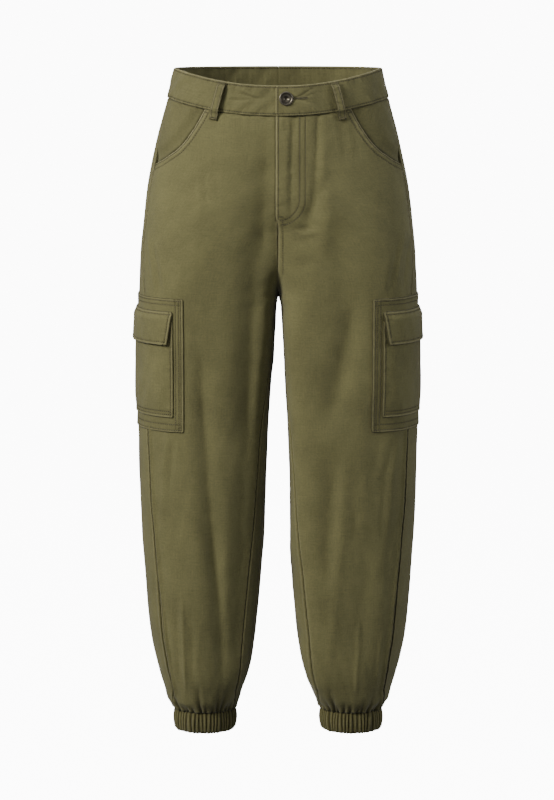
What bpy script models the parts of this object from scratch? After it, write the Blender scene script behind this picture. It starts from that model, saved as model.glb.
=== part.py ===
"""Cargo trousers with elastic cuffs, in the hollow form they have when worn.

+Z is up, the front faces -Y and the wearer's left is +X. The origin is the centre of the
waist, where the wearer holds the trousers up. All sizes are in metres.

Each half of the trousers is one surface, given by a height and an angle. The angle is 0 at
the outer side of the leg, grows towards the front and is half a turn at the inner side.
Every piece of cloth is a wall between two sheets of points on that surface, moved out or in.
"""

import math
from collections import namedtuple
from functools import lru_cache

import bmesh
import bpy
from mathutils import Vector

# Heights above the waist mount
BAND_TOP = 0.0185
WAIST_SEAM = -0.024
CROTCH = -0.302
LEG_END = -0.915
CUFF_END = -0.946

# Cloth
SEAM_GAP = 0.0003
TWILL = 0.0015
FACING_TWILL = 0.0012
BAND_THICK = 0.0031
BAND_PROUD = 0.0009

# The waist dips at the front, and the dip fades out below the hip bone
FRONT_DIP = 0.0225
DIP_POWER = 2.3
DIP_FADE_END = -0.22

# Height over which the two legs grow together into the body, and how round the seam's bend is
CROTCH_BEND = 0.210
CROTCH_ROUND = 1.3

# Outline of one leg, or of half the body above the crotch. outer and inner are distances
# from the centre plane, front and back are depths, and a square of 2 makes an ellipse.
Section = namedtuple("Section", "height outer inner front back square")
SECTIONS = (
    Section(0.030, 0.1440, 0.0000, 0.0975, 0.0995, 2.15),
    Section(0.0185, 0.1470, 0.0000, 0.0990, 0.1020, 2.15),
    Section(-0.024, 0.1575, 0.0000, 0.1055, 0.1110, 2.20),
    Section(-0.070, 0.1700, 0.0000, 0.1120, 0.1220, 2.25),
    Section(-0.115, 0.1803, 0.0000, 0.1165, 0.1300, 2.30),
    Section(-0.156, 0.1878, 0.0000, 0.1190, 0.1350, 2.30),
    Section(-0.200, 0.1932, 0.0000, 0.1200, 0.1380, 2.30),
    Section(-0.243, 0.1976, 0.0000, 0.1190, 0.1370, 2.30),
    Section(-0.302, 0.2000, 0.0000, 0.1160, 0.1270, 2.25),
    Section(-0.318, 0.2002, 0.0036, 0.1153, 0.1240, 2.22),
    Section(-0.350, 0.2005, 0.0056, 0.1138, 0.1185, 2.20),
    Section(-0.400, 0.2010, 0.0085, 0.1115, 0.1120, 2.20),
    Section(-0.450, 0.2016, 0.0112, 0.1090, 0.1070, 2.20),
    Section(-0.500, 0.2026, 0.0138, 0.1065, 0.1030, 2.15),
    Section(-0.550, 0.2018, 0.0160, 0.1030, 0.1000, 2.15),
    Section(-0.600, 0.2000, 0.0178, 0.0990, 0.0970, 2.15),
    Section(-0.650, 0.1980, 0.0196, 0.0940, 0.0940, 2.10),
    Section(-0.700, 0.1950, 0.0232, 0.0890, 0.0910, 2.10),
    Section(-0.750, 0.1914, 0.0274, 0.0835, 0.0875, 2.10),
    Section(-0.800, 0.1864, 0.0325, 0.0775, 0.0830, 2.10),
    Section(-0.838, 0.1790, 0.0381, 0.0720, 0.0770, 2.05),
    Section(-0.861, 0.1730, 0.0436, 0.0670, 0.0710, 2.05),
    Section(-0.883, 0.1664, 0.0512, 0.0600, 0.0630, 2.05),
    Section(-0.900, 0.1600, 0.0578, 0.0525, 0.0545, 2.00),
    Section(-0.915, 0.1515, 0.0632, 0.0440, 0.0440, 2.00),
    Section(-0.950, 0.1510, 0.0638, 0.0425, 0.0425, 2.00),
)

# How far the two seams of a leg lie ahead of its sides
SeamPlace = namedtuple("SeamPlace", "height ahead")
OUTSEAM = (
    SeamPlace(0.000, 0.012),
    SeamPlace(-0.024, 0.015),
    SeamPlace(-0.055, 0.020),
    SeamPlace(-0.110, 0.035),
    SeamPlace(-0.156, 0.037),
    SeamPlace(-0.210, 0.042),
    SeamPlace(-0.258, 0.049),
    SeamPlace(-0.302, 0.058),
    SeamPlace(-0.400, 0.063),
    SeamPlace(-0.520, 0.065),
    SeamPlace(-0.594, 0.063),
    SeamPlace(-0.660, 0.061),
    SeamPlace(-0.744, 0.058),
    SeamPlace(-0.813, 0.053),
    SeamPlace(-0.875, 0.041),
    SeamPlace(-0.915, 0.022),
    SeamPlace(-0.950, 0.020),
)
INSEAM = (
    SeamPlace(-0.302, 0.000),
    SeamPlace(-0.400, 0.018),
    SeamPlace(-0.500, 0.036),
    SeamPlace(-0.600, 0.045),
    SeamPlace(-0.700, 0.048),
    SeamPlace(-0.800, 0.045),
    SeamPlace(-0.870, 0.035),
    SeamPlace(-0.915, 0.020),
    SeamPlace(-0.950, 0.020),
)

# Mouth of the front pocket, from the waist seam down to the outseam
MouthPoint = namedtuple("MouthPoint", "height from_centre")
MOUTH = (
    MouthPoint(-0.024, 0.1030),
    MouthPoint(-0.052, 0.1176),
    MouthPoint(-0.084, 0.1386),
    MouthPoint(-0.106, 0.1620),
    MouthPoint(-0.116, 0.1755),
)
FACING_END = -0.138
FACING_HIDDEN = 0.018
FACING_DROP = 0.0034
FACING_DROP_EDGE = 0.005
FACING_DROP_WIDTH = 0.012
FACING_STEPS = 8

# Fly: the left front laps over the right one
FLY_LAP = 0.006
FLY_EDGE = 0.001
FLY_RISE = 0.0020
FLY_RISE_WIDTH = 0.022
FLY_LAP_END = -0.172
FLY_END = -0.192
FLY_FADE = 0.022

# The largest folds, as troughs from a to b on the front (+1) or back (-1). from_centre is
# the distance from the centre plane, width the half width of the trough.
Fold = namedtuple("Fold", "side face height_a from_a height_b from_b width depth")
FOLDS = (
    Fold(-1, +1, -0.090, 0.018, -0.210, 0.030, 0.020, 0.0022),
    Fold(-1, +1, -0.180, 0.026, -0.360, 0.054, 0.024, 0.0050),
    Fold(-1, +1, -0.300, 0.052, -0.500, 0.050, 0.022, 0.0040),
    Fold(-1, +1, -0.430, 0.097, -0.690, 0.094, 0.020, 0.0030),
    Fold(-1, +1, -0.640, 0.096, -0.860, 0.092, 0.016, 0.0034),
    Fold(-1, +1, -0.620, 0.050, -0.860, 0.064, 0.014, 0.0036),
    Fold(+1, +1, -0.030, 0.055, -0.175, 0.050, 0.014, 0.0020),
    Fold(+1, +1, -0.180, 0.040, -0.330, 0.085, 0.022, 0.0034),
    Fold(+1, +1, -0.290, 0.092, -0.480, 0.090, 0.022, 0.0045),
    Fold(+1, +1, -0.420, 0.142, -0.640, 0.138, 0.020, 0.0034),
    Fold(+1, +1, -0.600, 0.134, -0.850, 0.132, 0.018, 0.0036),
    Fold(+1, +1, -0.600, 0.070, -0.850, 0.082, 0.015, 0.0030),
    Fold(-1, -1, -0.240, 0.050, -0.350, 0.090, 0.022, 0.0045),
    Fold(-1, -1, -0.330, 0.060, -0.560, 0.080, 0.024, 0.0040),
    Fold(-1, -1, -0.560, 0.130, -0.830, 0.120, 0.020, 0.0040),
    Fold(-1, -1, -0.600, 0.080, -0.860, 0.090, 0.016, 0.0036),
    Fold(+1, -1, -0.240, 0.050, -0.340, 0.085, 0.022, 0.0045),
    Fold(+1, -1, -0.320, 0.065, -0.580, 0.085, 0.024, 0.0040),
    Fold(+1, -1, -0.540, 0.135, -0.800, 0.125, 0.020, 0.0040),
    Fold(+1, -1, -0.620, 0.085, -0.860, 0.095, 0.016, 0.0036),
)
FOLD_RADIUS = 0.100
SHARP_EDGE = math.radians(50)

# Rows of the leg panels. The cargo pocket's edges lie on rows of their own.
BACKING_TOP = CROTCH
FLAP_TOP = -0.324
POCKET_TOP = -0.333
FLAP_END = -0.370
POCKET_END = -0.477
BACKING_END = -0.497
PANEL_HEIGHTS = (
    WAIST_SEAM, -0.038, -0.052, -0.068, -0.084, -0.098, -0.107, -0.112, -0.116, -0.134,
    -0.154, FLY_LAP_END, FLY_END, -0.210, -0.234, -0.258, -0.276, -0.289, -0.298, CROTCH,
    -0.312, FLAP_TOP, POCKET_TOP, -0.351, FLAP_END, -0.398, -0.426, -0.452, POCKET_END,
    BACKING_END, -0.530, -0.566, -0.604, -0.644, -0.684, -0.720, -0.754, -0.784, -0.811,
    -0.834, -0.854, -0.871,
)

# Column distances from the outseam, then even steps to the inner edge of the panel
POCKET_FRONT = 0.060
BACKING_FRONT = 0.079
POCKET_BACK = 0.096
BACKING_BACK = 0.114
FRONT_MARKS = (0.0, 0.020, 0.040, POCKET_FRONT, BACKING_FRONT)
BACK_MARKS = (0.0, 0.024, 0.048, 0.072, POCKET_BACK, BACKING_BACK)
FRONT_STEPS = 7
BACK_STEPS = 8
FRONT_FULL_LENGTH = 0.288
BACK_FULL_LENGTH = 0.420
MARK_SHRINK = 0.6
SPREAD_START = CROTCH + 0.080
SPREAD_END = CROTCH - 0.050
LEANING_QUAD = 0.8

# Gathers where a leg is sewn into its cuff. reach is the share of their full height.
GatherRow = namedtuple("GatherRow", "height reach")
GATHER_ROWS = (
    GatherRow(-0.884, 0.45),
    GatherRow(-0.897, 0.80),
    GatherRow(-0.907, 1.00),
    GatherRow(LEG_END + SEAM_GAP, 0.80),
)
FRONT_GATHERS = 14
BACK_GATHERS = 21
GATHER_PROUD = 0.0030
GATHER_UNEVEN = 0.26

# Cuff: an elastic casing, ribbed outside and plain inside. out is off the leg's surface.
CuffRow = namedtuple("CuffRow", "height out rib")
CUFF_ROWS = (
    CuffRow(LEG_END, 0.0004, 0.5),
    CuffRow(-0.921, 0.0014, 1.0),
    CuffRow(-0.932, 0.0018, 1.0),
    CuffRow(-0.941, 0.0014, 1.0),
    CuffRow(CUFF_END, 0.0000, 0.5),
)
CUFF_RIBS = 35
CUFF_RIB = 0.0018
CUFF_UNEVEN = 0.2
CUFF_INSIDE = -0.0022
CUFF_INSIDE_STEPS = 24

# Cargo pocket: off the leg's surface
BACKING_OUT = 0.0015
POCKET_WALL = 0.0013
POCKET_PUFF = 0.0020
PUFF_FADE_BELOW = 0.030
PUFF_FADE_SIDE = 0.16
FLAP_WALL = 0.0016
FLAP_FLARE = 0.0018
FLAP_SLANT = 0.0065
FLAP_CORNER_LIFT = 0.0020
FLAP_CORNER_SHARE = 0.20

# Belt loops
LOOP_WIDTH = 0.012
LOOP_THICK = 0.0018
LOOP_CLEAR = 0.0056
FRONT_LOOP_ANGLE = math.radians(58)
FRONT_LOOP_LEAN = 0.8
LOOP_MIDDLE = -0.010
BACK_LOOP_ANGLE = math.radians(-40)
CENTRE_BACK = math.radians(-90)
LoopRow = namedtuple("LoopRow", "height stand")
LOOP_ROWS = (
    LoopRow(0.0170, 0.0),
    LoopRow(0.0135, 0.0),
    LoopRow(0.0105, 0.55),
    LoopRow(0.0070, 1.0),
    LoopRow(-0.0220, 1.0),
    LoopRow(-0.0265, 0.60),
    LoopRow(-0.0300, 0.0),
    LoopRow(-0.0360, 0.0),
)

# Waistband and its lap
BandRow = namedtuple("BandRow", "height out")
BAND_ROWS = (
    BandRow(BAND_TOP, -0.0006),
    BandRow(0.0165, BAND_PROUD),
    BandRow(-0.0030, BAND_PROUD + 0.0002),
    BandRow(-0.0210, BAND_PROUD),
    BandRow(WAIST_SEAM + SEAM_GAP, 0.0002),
)
BAND_INSIDE_HEIGHTS = (0.0172, -0.003, WAIST_SEAM + SEAM_GAP)
BAND_STEPS = 18
BAND_END_RIGHT = 0.034
BAND_END_LEFT = 0.0036
BAND_LAP_STEPS = 8
BAND_LAP_RISE = 0.0035
BAND_LAP_START = 0.062
BAND_LAP_FULL = 0.037

# Button: radius and height of the rings of its turned face
ButtonRing = namedtuple("ButtonRing", "radius height")
BUTTON_RINGS = (
    ButtonRing(0.0060, 0.0000),
    ButtonRing(0.0094, 0.0004),
    ButtonRing(0.0100, 0.0014),
    ButtonRing(0.0096, 0.0024),
    ButtonRing(0.0086, 0.0029),
    ButtonRing(0.0074, 0.0028),
    ButtonRing(0.0066, 0.0021),
    ButtonRing(0.0038, 0.0019),
    ButtonRing(0.0028, 0.0012),
)
BUTTON_SIDES = 20
BUTTON_FROM_CENTRE = 0.0110
BUTTON_HEIGHT = 0.0002

SIDES = (("right", -1), ("left", +1))

Shape = namedtuple("Shape", "centre half front back square open_share lean")


def clamp(value, low=0.0, high=1.0):
    return max(low, min(high, value))


def ease(value):
    """0 to 1 with level ends."""
    value = clamp(value)
    return value * value * (3 - 2 * value)


@lru_cache(maxsize=None)
def smooth(table, column, height):
    """A column of a table at a height, on a smooth curve through its rows."""
    rows = sorted(table, key=lambda row: row.height)
    heights = [row.height for row in rows]
    values = [getattr(row, column) for row in rows]
    if height <= heights[0]:
        return values[0]
    if height >= heights[-1]:
        return values[-1]
    slopes = [(values[i + 1] - values[i]) / (heights[i + 1] - heights[i])
              for i in range(len(rows) - 1)]
    i = max(k for k in range(len(rows) - 1) if heights[k] <= height)
    before = slopes[max(i - 1, 0)]
    after = slopes[min(i + 1, len(slopes) - 1)]
    span = heights[i + 1] - heights[i]
    start = level_slope(before, slopes[i])
    end = level_slope(slopes[i], after)
    t = (height - heights[i]) / span
    return ((1 + 2 * t) * (1 - t) ** 2 * values[i] + t * (1 - t) ** 2 * span * start
            + t * t * (3 - 2 * t) * values[i + 1] + t * t * (t - 1) * span * end)


def level_slope(one, other):
    """Slope at a row between two stretches, level where they turn back."""
    if one * other <= 0:
        return 0.0
    return 2 * one * other / (one + other)


@lru_cache(maxsize=None)
def shape_at(height):
    """Centre, half width and depths of the section at a height."""
    outer = smooth(SECTIONS, "outer", height)
    inner = smooth(SECTIONS, "inner", height)
    front = smooth(SECTIONS, "front", height)
    back = smooth(SECTIONS, "back", height)
    square = smooth(SECTIONS, "square", height)
    if height <= CROTCH:
        centre = (outer + inner) / 2
        return Shape(centre, (outer - inner) / 2, front, back, square, 0.0, 1.0)
    rise = clamp((height - CROTCH) / CROTCH_BEND)
    lean = (1 - rise ** CROTCH_ROUND) ** 2
    open_share = (1 - lean ** square) ** (1 / square)
    half = outer / (1 + lean)
    return Shape(half * lean, half, front, back, square, open_share, lean)


def oval(angle, square):
    """A point of the unit oval in the direction of an angle."""
    x = math.cos(angle)
    y = math.sin(angle)
    size = (abs(x) ** square + abs(y) ** square) ** (1 / square)
    return x / size, y / size


def angle_from_centre(height, from_centre):
    """Angle of the point on the front at that distance from the centre plane."""
    shape = shape_at(height)
    x = clamp((from_centre - shape.centre) / shape.half, -1, 1)
    y = (1 - abs(x) ** shape.square) ** (1 / shape.square)
    return math.atan2(y, x)


def angle_ahead(height, ahead):
    """Angle of the point on the outer side, that far ahead of the widest place."""
    shape = shape_at(height)
    y = clamp(ahead / shape.front, -1, 1)
    x = (1 - abs(y) ** shape.square) ** (1 / shape.square)
    return math.atan2(y, x)


@lru_cache(maxsize=None)
def fold_ends(fold):
    angle_a = fold.face * angle_from_centre(fold.height_a, fold.from_a)
    angle_b = fold.face * angle_from_centre(fold.height_b, fold.from_b)
    return angle_a, angle_b


def fold_push(side, height, angle):
    """How far the folds move a point of the cloth."""
    push = 0.0
    for fold in FOLDS:
        if fold.side != side:
            continue
        angle_a, angle_b = fold_ends(fold)
        turn = (angle - angle_a + math.pi) % (2 * math.pi) - math.pi
        along = Vector(((angle_b - angle_a) * FOLD_RADIUS, fold.height_b - fold.height_a))
        here = Vector((turn * FOLD_RADIUS, height - fold.height_a))
        share = clamp(here.dot(along) / along.length_squared)
        away = (here - along * share).length
        push -= fold.depth * math.exp(-(away / fold.width) ** 2) * math.sin(math.pi * share) ** 0.5
    return push


def waist_dip(height, ahead_share):
    fade = 1 - ease((WAIST_SEAM - height) / (WAIST_SEAM - DIP_FADE_END))
    return FRONT_DIP * max(0.0, ahead_share) ** DIP_POWER * fade


def cloth_point(side, height, angle, out=0.0):
    """A point of one half of the trousers, moved out from the surface."""
    shape = shape_at(height)
    x, y = oval(angle, shape.square)
    depth = shape.front if y > 0 else shape.back
    normal_x = math.copysign(abs(x) ** (shape.square - 1), x) / shape.half
    normal_y = math.copysign(abs(y) ** (shape.square - 1), -y) / depth
    length = math.hypot(normal_x, normal_y)
    push = out + fold_push(side, height, angle)
    across = SEAM_GAP / 2 + shape.centre + shape.half * x + normal_x / length * push
    return Vector((side * across, -depth * y + normal_y / length * push,
                   height - waist_dip(height, y)))


@lru_cache(maxsize=None)
def arc_table(height, start, end):
    """Distances along the section from start to end, with their angles."""
    steps = 120
    angles = [start + (end - start) * i / steps for i in range(steps + 1)]
    points = [cloth_point(0, height, angle).yz.to_tuple() for angle in angles]
    shape = shape_at(height)
    distances = [0.0]
    for i in range(steps):
        across = shape.half * (oval(angles[i + 1], shape.square)[0]
                               - oval(angles[i], shape.square)[0])
        deep = points[i + 1][0] - points[i][0]
        distances.append(distances[-1] + math.hypot(across, deep))
    return angles, distances


def angle_at(height, start, end, distance):
    """Angle at a distance along the section from start towards end."""
    angles, distances = arc_table(height, start, end)
    distance = clamp(distance, 0.0, distances[-1])
    for i in range(len(distances) - 1):
        if distance <= distances[i + 1]:
            share = (distance - distances[i]) / max(distances[i + 1] - distances[i], 1e-9)
            return angles[i] + (angles[i + 1] - angles[i]) * share
    return angles[-1]


def arc_length(height, start, end):
    return arc_table(height, start, end)[1][-1]


def half_gap(height):
    """Half a seam's gap as an angle."""
    return SEAM_GAP / 2 / shape_at(height).half


def outseam_angle(height):
    return angle_ahead(height, smooth(OUTSEAM, "ahead", height))


def centre_angle(height):
    """Angle of the front centre seam. The back centre seam is at minus this angle."""
    shape = shape_at(height)
    return math.pi - math.atan2(shape.open_share, shape.lean)


def inseam_angle(height):
    return math.pi - angle_ahead(height, smooth(INSEAM, "ahead", height))


def mouth_angle(height):
    """Angle of the front panel's outer edge: the pocket mouth, then the outseam."""
    if height <= MOUTH[-1].height:
        return outseam_angle(height)
    return angle_from_centre(height, smooth(MOUTH, "from_centre", height))


def fly_share(height, end):
    """1 beside the fly, 0 below its end."""
    return 1 - ease((end + FLY_FADE / 2 - height) / FLY_FADE)


def front_edges(side, height):
    start = mouth_angle(height) + half_gap(height)
    if height <= CROTCH:
        return start, inseam_angle(height) - half_gap(height)
    reach = FLY_LAP if side < 0 else FLY_EDGE
    lowest = FLY_LAP_END if side < 0 else FLY_END
    past = reach * fly_share(height, lowest) / shape_at(height).half
    return start, centre_angle(height) + past


def back_edges(height):
    start = outseam_angle(height) - half_gap(height)
    if height <= CROTCH:
        return start, inseam_angle(height) + half_gap(height) - 2 * math.pi
    return start, -centre_angle(height)


def even_length(height, edges_at):
    """Length of a panel's row, as if its inner edge ran straight past the crotch."""
    share = (height - SPREAD_END) / (SPREAD_START - SPREAD_END)
    if not 0 < share < 1:
        return arc_length(height, *edges_at(height))
    low = arc_length(SPREAD_END, *edges_at(SPREAD_END))
    high = arc_length(SPREAD_START, *edges_at(SPREAD_START))
    return low + (high - low) * share


def column_angles(height, edges_at, marks, steps, full_length):
    """Columns of a panel: at marks from its outer edge, then spread to its inner edge."""
    start, end = edges_at(height)
    length = arc_length(height, start, end)
    even = even_length(height, edges_at)
    scale = min(1.0, (even / full_length) ** MARK_SHRINK)
    first = marks[-1] * scale
    distances = [mark * scale for mark in marks]
    for i in range(1, steps + 1):
        share = i / steps
        distances.append(first + (even - first) * share + (length - even) * share ** 3)
    return [angle_at(height, start, end, distance) for distance in distances]


def front_columns(side, height):
    def edges_at(at):
        return front_edges(side, at)

    return column_angles(height, edges_at, FRONT_MARKS, FRONT_STEPS, FRONT_FULL_LENGTH)


def back_columns(height):
    columns = column_angles(height, back_edges, BACK_MARKS, BACK_STEPS, BACK_FULL_LENGTH)
    return columns[::-1]


def fly_rise(side, height, angle):
    """The left front stands up beside the fly, where it laps over the right one."""
    if side < 0 or angle < 0 or height < FLY_END - FLY_FADE:
        return 0.0
    shape = shape_at(height)
    from_centre = shape.centre + shape.half * oval(angle, shape.square)[0]
    near = 1 - ease((from_centre - FLY_LAP - 0.003) / (FLY_RISE_WIDTH - FLY_LAP))
    return FLY_RISE * near * fly_share(height, FLY_END)


def gather_push(index, count, reach, side):
    """Ridges at the odd columns of a gathered row, uneven in height."""
    if index % 2 == 0 or index in (0, count - 1):
        return 0.0
    return GATHER_PROUD * reach * (1 - GATHER_UNEVEN + GATHER_UNEVEN * math.sin(1.9 * index + side))


def gathered_angles(height, edges, gathers):
    """Columns of a gathered row, two to a gather, unevenly spaced."""
    start, end = edges
    length = arc_length(height, start, end)
    count = 2 * gathers
    shares = [i / count for i in range(count + 1)]
    shares = [share + 0.006 * math.sin(2.7 * i) * (0 < i < count)
              for i, share in enumerate(shares)]
    return [angle_at(height, start, end, share * length) for share in shares]


def make_material(name, colour, roughness, metallic):
    material = bpy.data.materials.new(name)
    material.use_nodes = True
    shader = material.node_tree.nodes["Principled BSDF"]
    shader.inputs["Base Color"].default_value = (*colour, 1.0)
    shader.inputs["Roughness"].default_value = roughness
    shader.inputs["Metallic"].default_value = metallic
    return material


def quad_strip(bm, row, next_row):
    """Two triangles to a quad. A quad that leans far is cut along its short diagonal."""
    for i in range(len(row) - 1):
        a, b = row[i][1], row[i + 1][1]
        d, c = next_row[i][1], next_row[i + 1][1]
        if (a.co - c.co).length < LEANING_QUAD * (b.co - d.co).length:
            bm.faces.new((a, b, c))
            bm.faces.new((a, c, d))
        else:
            bm.faces.new((a, b, d))
            bm.faces.new((b, c, d))


def zip_rows(bm, row, next_row):
    """Triangles between two rows of (place, vertex), which may differ in number."""
    if len(row) == len(next_row):
        quad_strip(bm, row, next_row)
        return
    i = 0
    j = 0
    while i < len(row) - 1 or j < len(next_row) - 1:
        can_i = i < len(row) - 1
        can_j = j < len(next_row) - 1
        if can_i and (not can_j or row[i + 1][0] <= next_row[j + 1][0]):
            bm.faces.new((row[i][1], row[i + 1][1], next_row[j][1]))
            i += 1
        else:
            bm.faces.new((row[i][1], next_row[j + 1][1], next_row[j][1]))
            j += 1


def finish_object(name, bm, material):
    bmesh.ops.recalc_face_normals(bm, faces=bm.faces)
    mesh = bpy.data.meshes.new(name)
    bm.to_mesh(mesh)
    bm.free()
    mesh.materials.append(material)
    mesh.shade_smooth()
    mesh.set_sharp_from_angle(angle=SHARP_EDGE)
    piece = bpy.data.objects.new(name, mesh)
    bpy.context.scene.collection.objects.link(piece)
    return piece


def cloth_wall(name, outside, inside, material, closed=False):
    """A closed wall from two sheets. A sheet is rows of (place, point), top to bottom."""
    bm = bmesh.new()
    sheets = []
    for sheet in (outside, inside):
        rows = [[(place, bm.verts.new(point)) for place, point in row] for row in sheet]
        if closed:
            rows = [row + [(row[0][0] + 2 * math.pi, row[0][1])] for row in rows]
        sheets.append(rows)
    for rows in sheets:
        for row, next_row in zip(rows, rows[1:]):
            zip_rows(bm, row, next_row)
    zip_rows(bm, sheets[0][0], sheets[1][0])
    zip_rows(bm, sheets[0][-1], sheets[1][-1])
    if not closed:
        for end in (0, -1):
            edges = [[(-row[end][1].co.z, row[end][1]) for row in rows] for rows in sheets]
            zip_rows(bm, edges[0], edges[1])
    return finish_object(name, bm, material)


def panel_sheet(side, columns_at, edges_at, gathers, out, gathered):
    """Rows of points of a leg panel from the waist seam to the cuff seam."""
    rows = []
    for height in PANEL_HEIGHTS:
        rows.append([(angle, cloth_point(side, height, angle,
                                         out + fly_rise(side, height, angle)))
                     for angle in columns_at(height)])
    for row in GATHER_ROWS:
        if not gathered:
            rows.append([(angle, cloth_point(side, row.height, angle, out))
                         for angle in columns_at(row.height)])
            continue
        angles = gathered_angles(row.height, edges_at(row.height), gathers)
        points = []
        for index, angle in enumerate(angles):
            push = gather_push(index, len(angles), row.reach, side)
            points.append((angle, cloth_point(side, row.height, angle, out + push)))
        rows.append(points)
    return rows


def build_panels(material):
    for word, side in SIDES:
        def front_at(height):
            return front_columns(side, height)

        def front_ends(height):
            return front_edges(side, height)

        def back_ends(height):
            return back_edges(height)[::-1]

        cloth_wall("front_" + word,
                   panel_sheet(side, front_at, front_ends, FRONT_GATHERS, 0.0, True),
                   panel_sheet(side, front_at, front_ends, FRONT_GATHERS, -TWILL, False),
                   material)
        cloth_wall("back_" + word,
                   panel_sheet(side, back_columns, back_ends, BACK_GATHERS, 0.0, True),
                   panel_sheet(side, back_columns, back_ends, BACK_GATHERS, -TWILL, False),
                   material)


def mouth_distance(height, from_centre):
    """Distance of a point above the pocket mouth from the mouth, seen from the front."""
    if from_centre <= smooth(MOUTH, "from_centre", height) or height <= MOUTH[-1].height:
        return 0.0
    here = Vector((from_centre, height))
    nearest = math.inf
    for upper, lower in zip(MOUTH, MOUTH[1:]):
        start = Vector((upper.from_centre, upper.height))
        along = Vector((lower.from_centre, lower.height)) - start
        share = clamp((here - start).dot(along) / along.length_squared)
        nearest = min(nearest, (here - start - along * share).length)
    return nearest


def facing_row(side, height, out):
    """The facing lies flush at the outseam and drops behind the front panel."""
    start = outseam_angle(height) + half_gap(height)
    mouth = mouth_angle(height)
    end = angle_at(height, mouth, mouth + math.pi / 2, FACING_HIDDEN)
    shape = shape_at(height)
    points = []
    for i in range(FACING_STEPS + 1):
        angle = start + (end - start) * i / FACING_STEPS
        from_centre = shape.centre + shape.half * oval(angle, shape.square)[0]
        away = mouth_distance(height, from_centre)
        drop = 1 - ease((away - FACING_DROP_EDGE) / FACING_DROP_WIDTH)
        points.append((angle, cloth_point(side, height, angle, out - FACING_DROP * drop)))
    return points


def build_facings(material):
    heights = [height for height in PANEL_HEIGHTS if height > FACING_END] + [FACING_END]
    for word, side in SIDES:
        cloth_wall("pocket_facing_" + word,
                   [facing_row(side, height, 0.0) for height in heights],
                   [facing_row(side, height, -FACING_TWILL) for height in heights],
                   material)


def band_out(side, angle, height):
    """The left end of the band rises to lap over the right end."""
    if side < 0 or angle < 0:
        return 0.0
    shape = shape_at(height)
    from_centre = shape.half * oval(angle, shape.square)[0]
    return BAND_LAP_RISE * ease((BAND_LAP_START - from_centre)
                                / (BAND_LAP_START - BAND_LAP_FULL))


def band_row(side, height, out):
    """Each end of the band stops at its own distance past the centre front."""
    past = BAND_END_RIGHT if side < 0 else BAND_END_LEFT
    shape = shape_at(WAIST_SEAM)
    start = CENTRE_BACK
    end = math.pi / 2 + past / shape.half
    lap = math.pi / 2 - BAND_LAP_START / shape.half
    angles = [start + (lap - start) * i / BAND_STEPS for i in range(BAND_STEPS)]
    angles += [lap + (end - lap) * i / BAND_LAP_STEPS for i in range(BAND_LAP_STEPS + 1)]
    return [(angle, cloth_point(side, height, angle, out + band_out(side, angle, height)))
            for angle in angles]


def build_waistband(material):
    for word, side in SIDES:
        inside = -(BAND_THICK - BAND_PROUD)
        cloth_wall("waistband_" + word,
                   [band_row(side, row.height, row.out) for row in BAND_ROWS],
                   [band_row(side, height, inside) for height in BAND_INSIDE_HEIGHTS],
                   material)


def loop_row(side, row, angle, out):
    """A row across a belt loop. Its ends lie on the band and on the panel below it."""
    if angle > 0:
        angle += FRONT_LOOP_LEAN * (row.height - LOOP_MIDDLE)
    on_band = row.height > WAIST_SEAM
    seat = BAND_PROUD + SEAM_GAP if on_band else SEAM_GAP + 0.0002
    away = seat + LOOP_CLEAR * row.stand + out
    half_turn = LOOP_WIDTH / 2 / arc_length(row.height, angle, angle + 1.0)
    points = []
    for step in (-1, 0, 1):
        place = angle + step * half_turn
        points.append((place, cloth_point(side, row.height, place, away)))
    return points


def build_belt_loops(material):
    loops = [("belt_loop_front_" + word, side, FRONT_LOOP_ANGLE) for word, side in SIDES]
    loops += [("belt_loop_back_" + word, side, BACK_LOOP_ANGLE) for word, side in SIDES]
    loops.append(("belt_loop_centre_back", 1, CENTRE_BACK))
    for name, side, angle in loops:
        cloth_wall(name,
                   [loop_row(side, row, angle, LOOP_THICK) for row in LOOP_ROWS],
                   [loop_row(side, row, angle, 0.0) for row in LOOP_ROWS],
                   material)


def pocket_columns(side, height, front_mark, back_mark):
    """The panels' own columns, from a mark behind the outseam to one ahead of it."""
    back = back_columns(height)
    front = front_columns(side, height)
    behind = back[len(back) - 1 - BACK_MARKS.index(back_mark):-1]
    ahead = front[1:FRONT_MARKS.index(front_mark) + 1]
    return behind + [outseam_angle(height)] + ahead


def build_backings(material):
    heights = [height for height in PANEL_HEIGHTS if BACKING_END <= height <= BACKING_TOP]
    for word, side in SIDES:
        sheets = []
        for out in (BACKING_OUT, SEAM_GAP):
            sheets.append([[(angle, cloth_point(side, height, angle, out))
                            for angle in pocket_columns(side, height, BACKING_FRONT,
                                                        BACKING_BACK)]
                           for height in heights])
        cloth_wall("pocket_backing_" + word, sheets[0], sheets[1], material)


def pocket_puff(height, share):
    """The pocket stands out in the middle and lies flat where it is sewn down."""
    low = ease((height - POCKET_END) / PUFF_FADE_BELOW)
    beside = ease(min(share, 1 - share) / PUFF_FADE_SIDE)
    return POCKET_PUFF * low * beside


def pocket_sheet(side, heights, out):
    rows = []
    for height in heights:
        angles = pocket_columns(side, height, POCKET_FRONT, POCKET_BACK)
        row = []
        for angle in angles:
            share = (angle - angles[0]) / (angles[-1] - angles[0])
            row.append((angle, cloth_point(side, height, angle,
                                           out + pocket_puff(height, share))))
        rows.append(row)
    return rows


def build_cargo_pockets(material):
    heights = [height for height in PANEL_HEIGHTS if POCKET_END <= height <= POCKET_TOP]
    seat = BACKING_OUT + SEAM_GAP
    for word, side in SIDES:
        cloth_wall("cargo_pocket_" + word,
                   pocket_sheet(side, heights, seat + POCKET_WALL),
                   pocket_sheet(side, heights, seat),
                   material)


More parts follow.
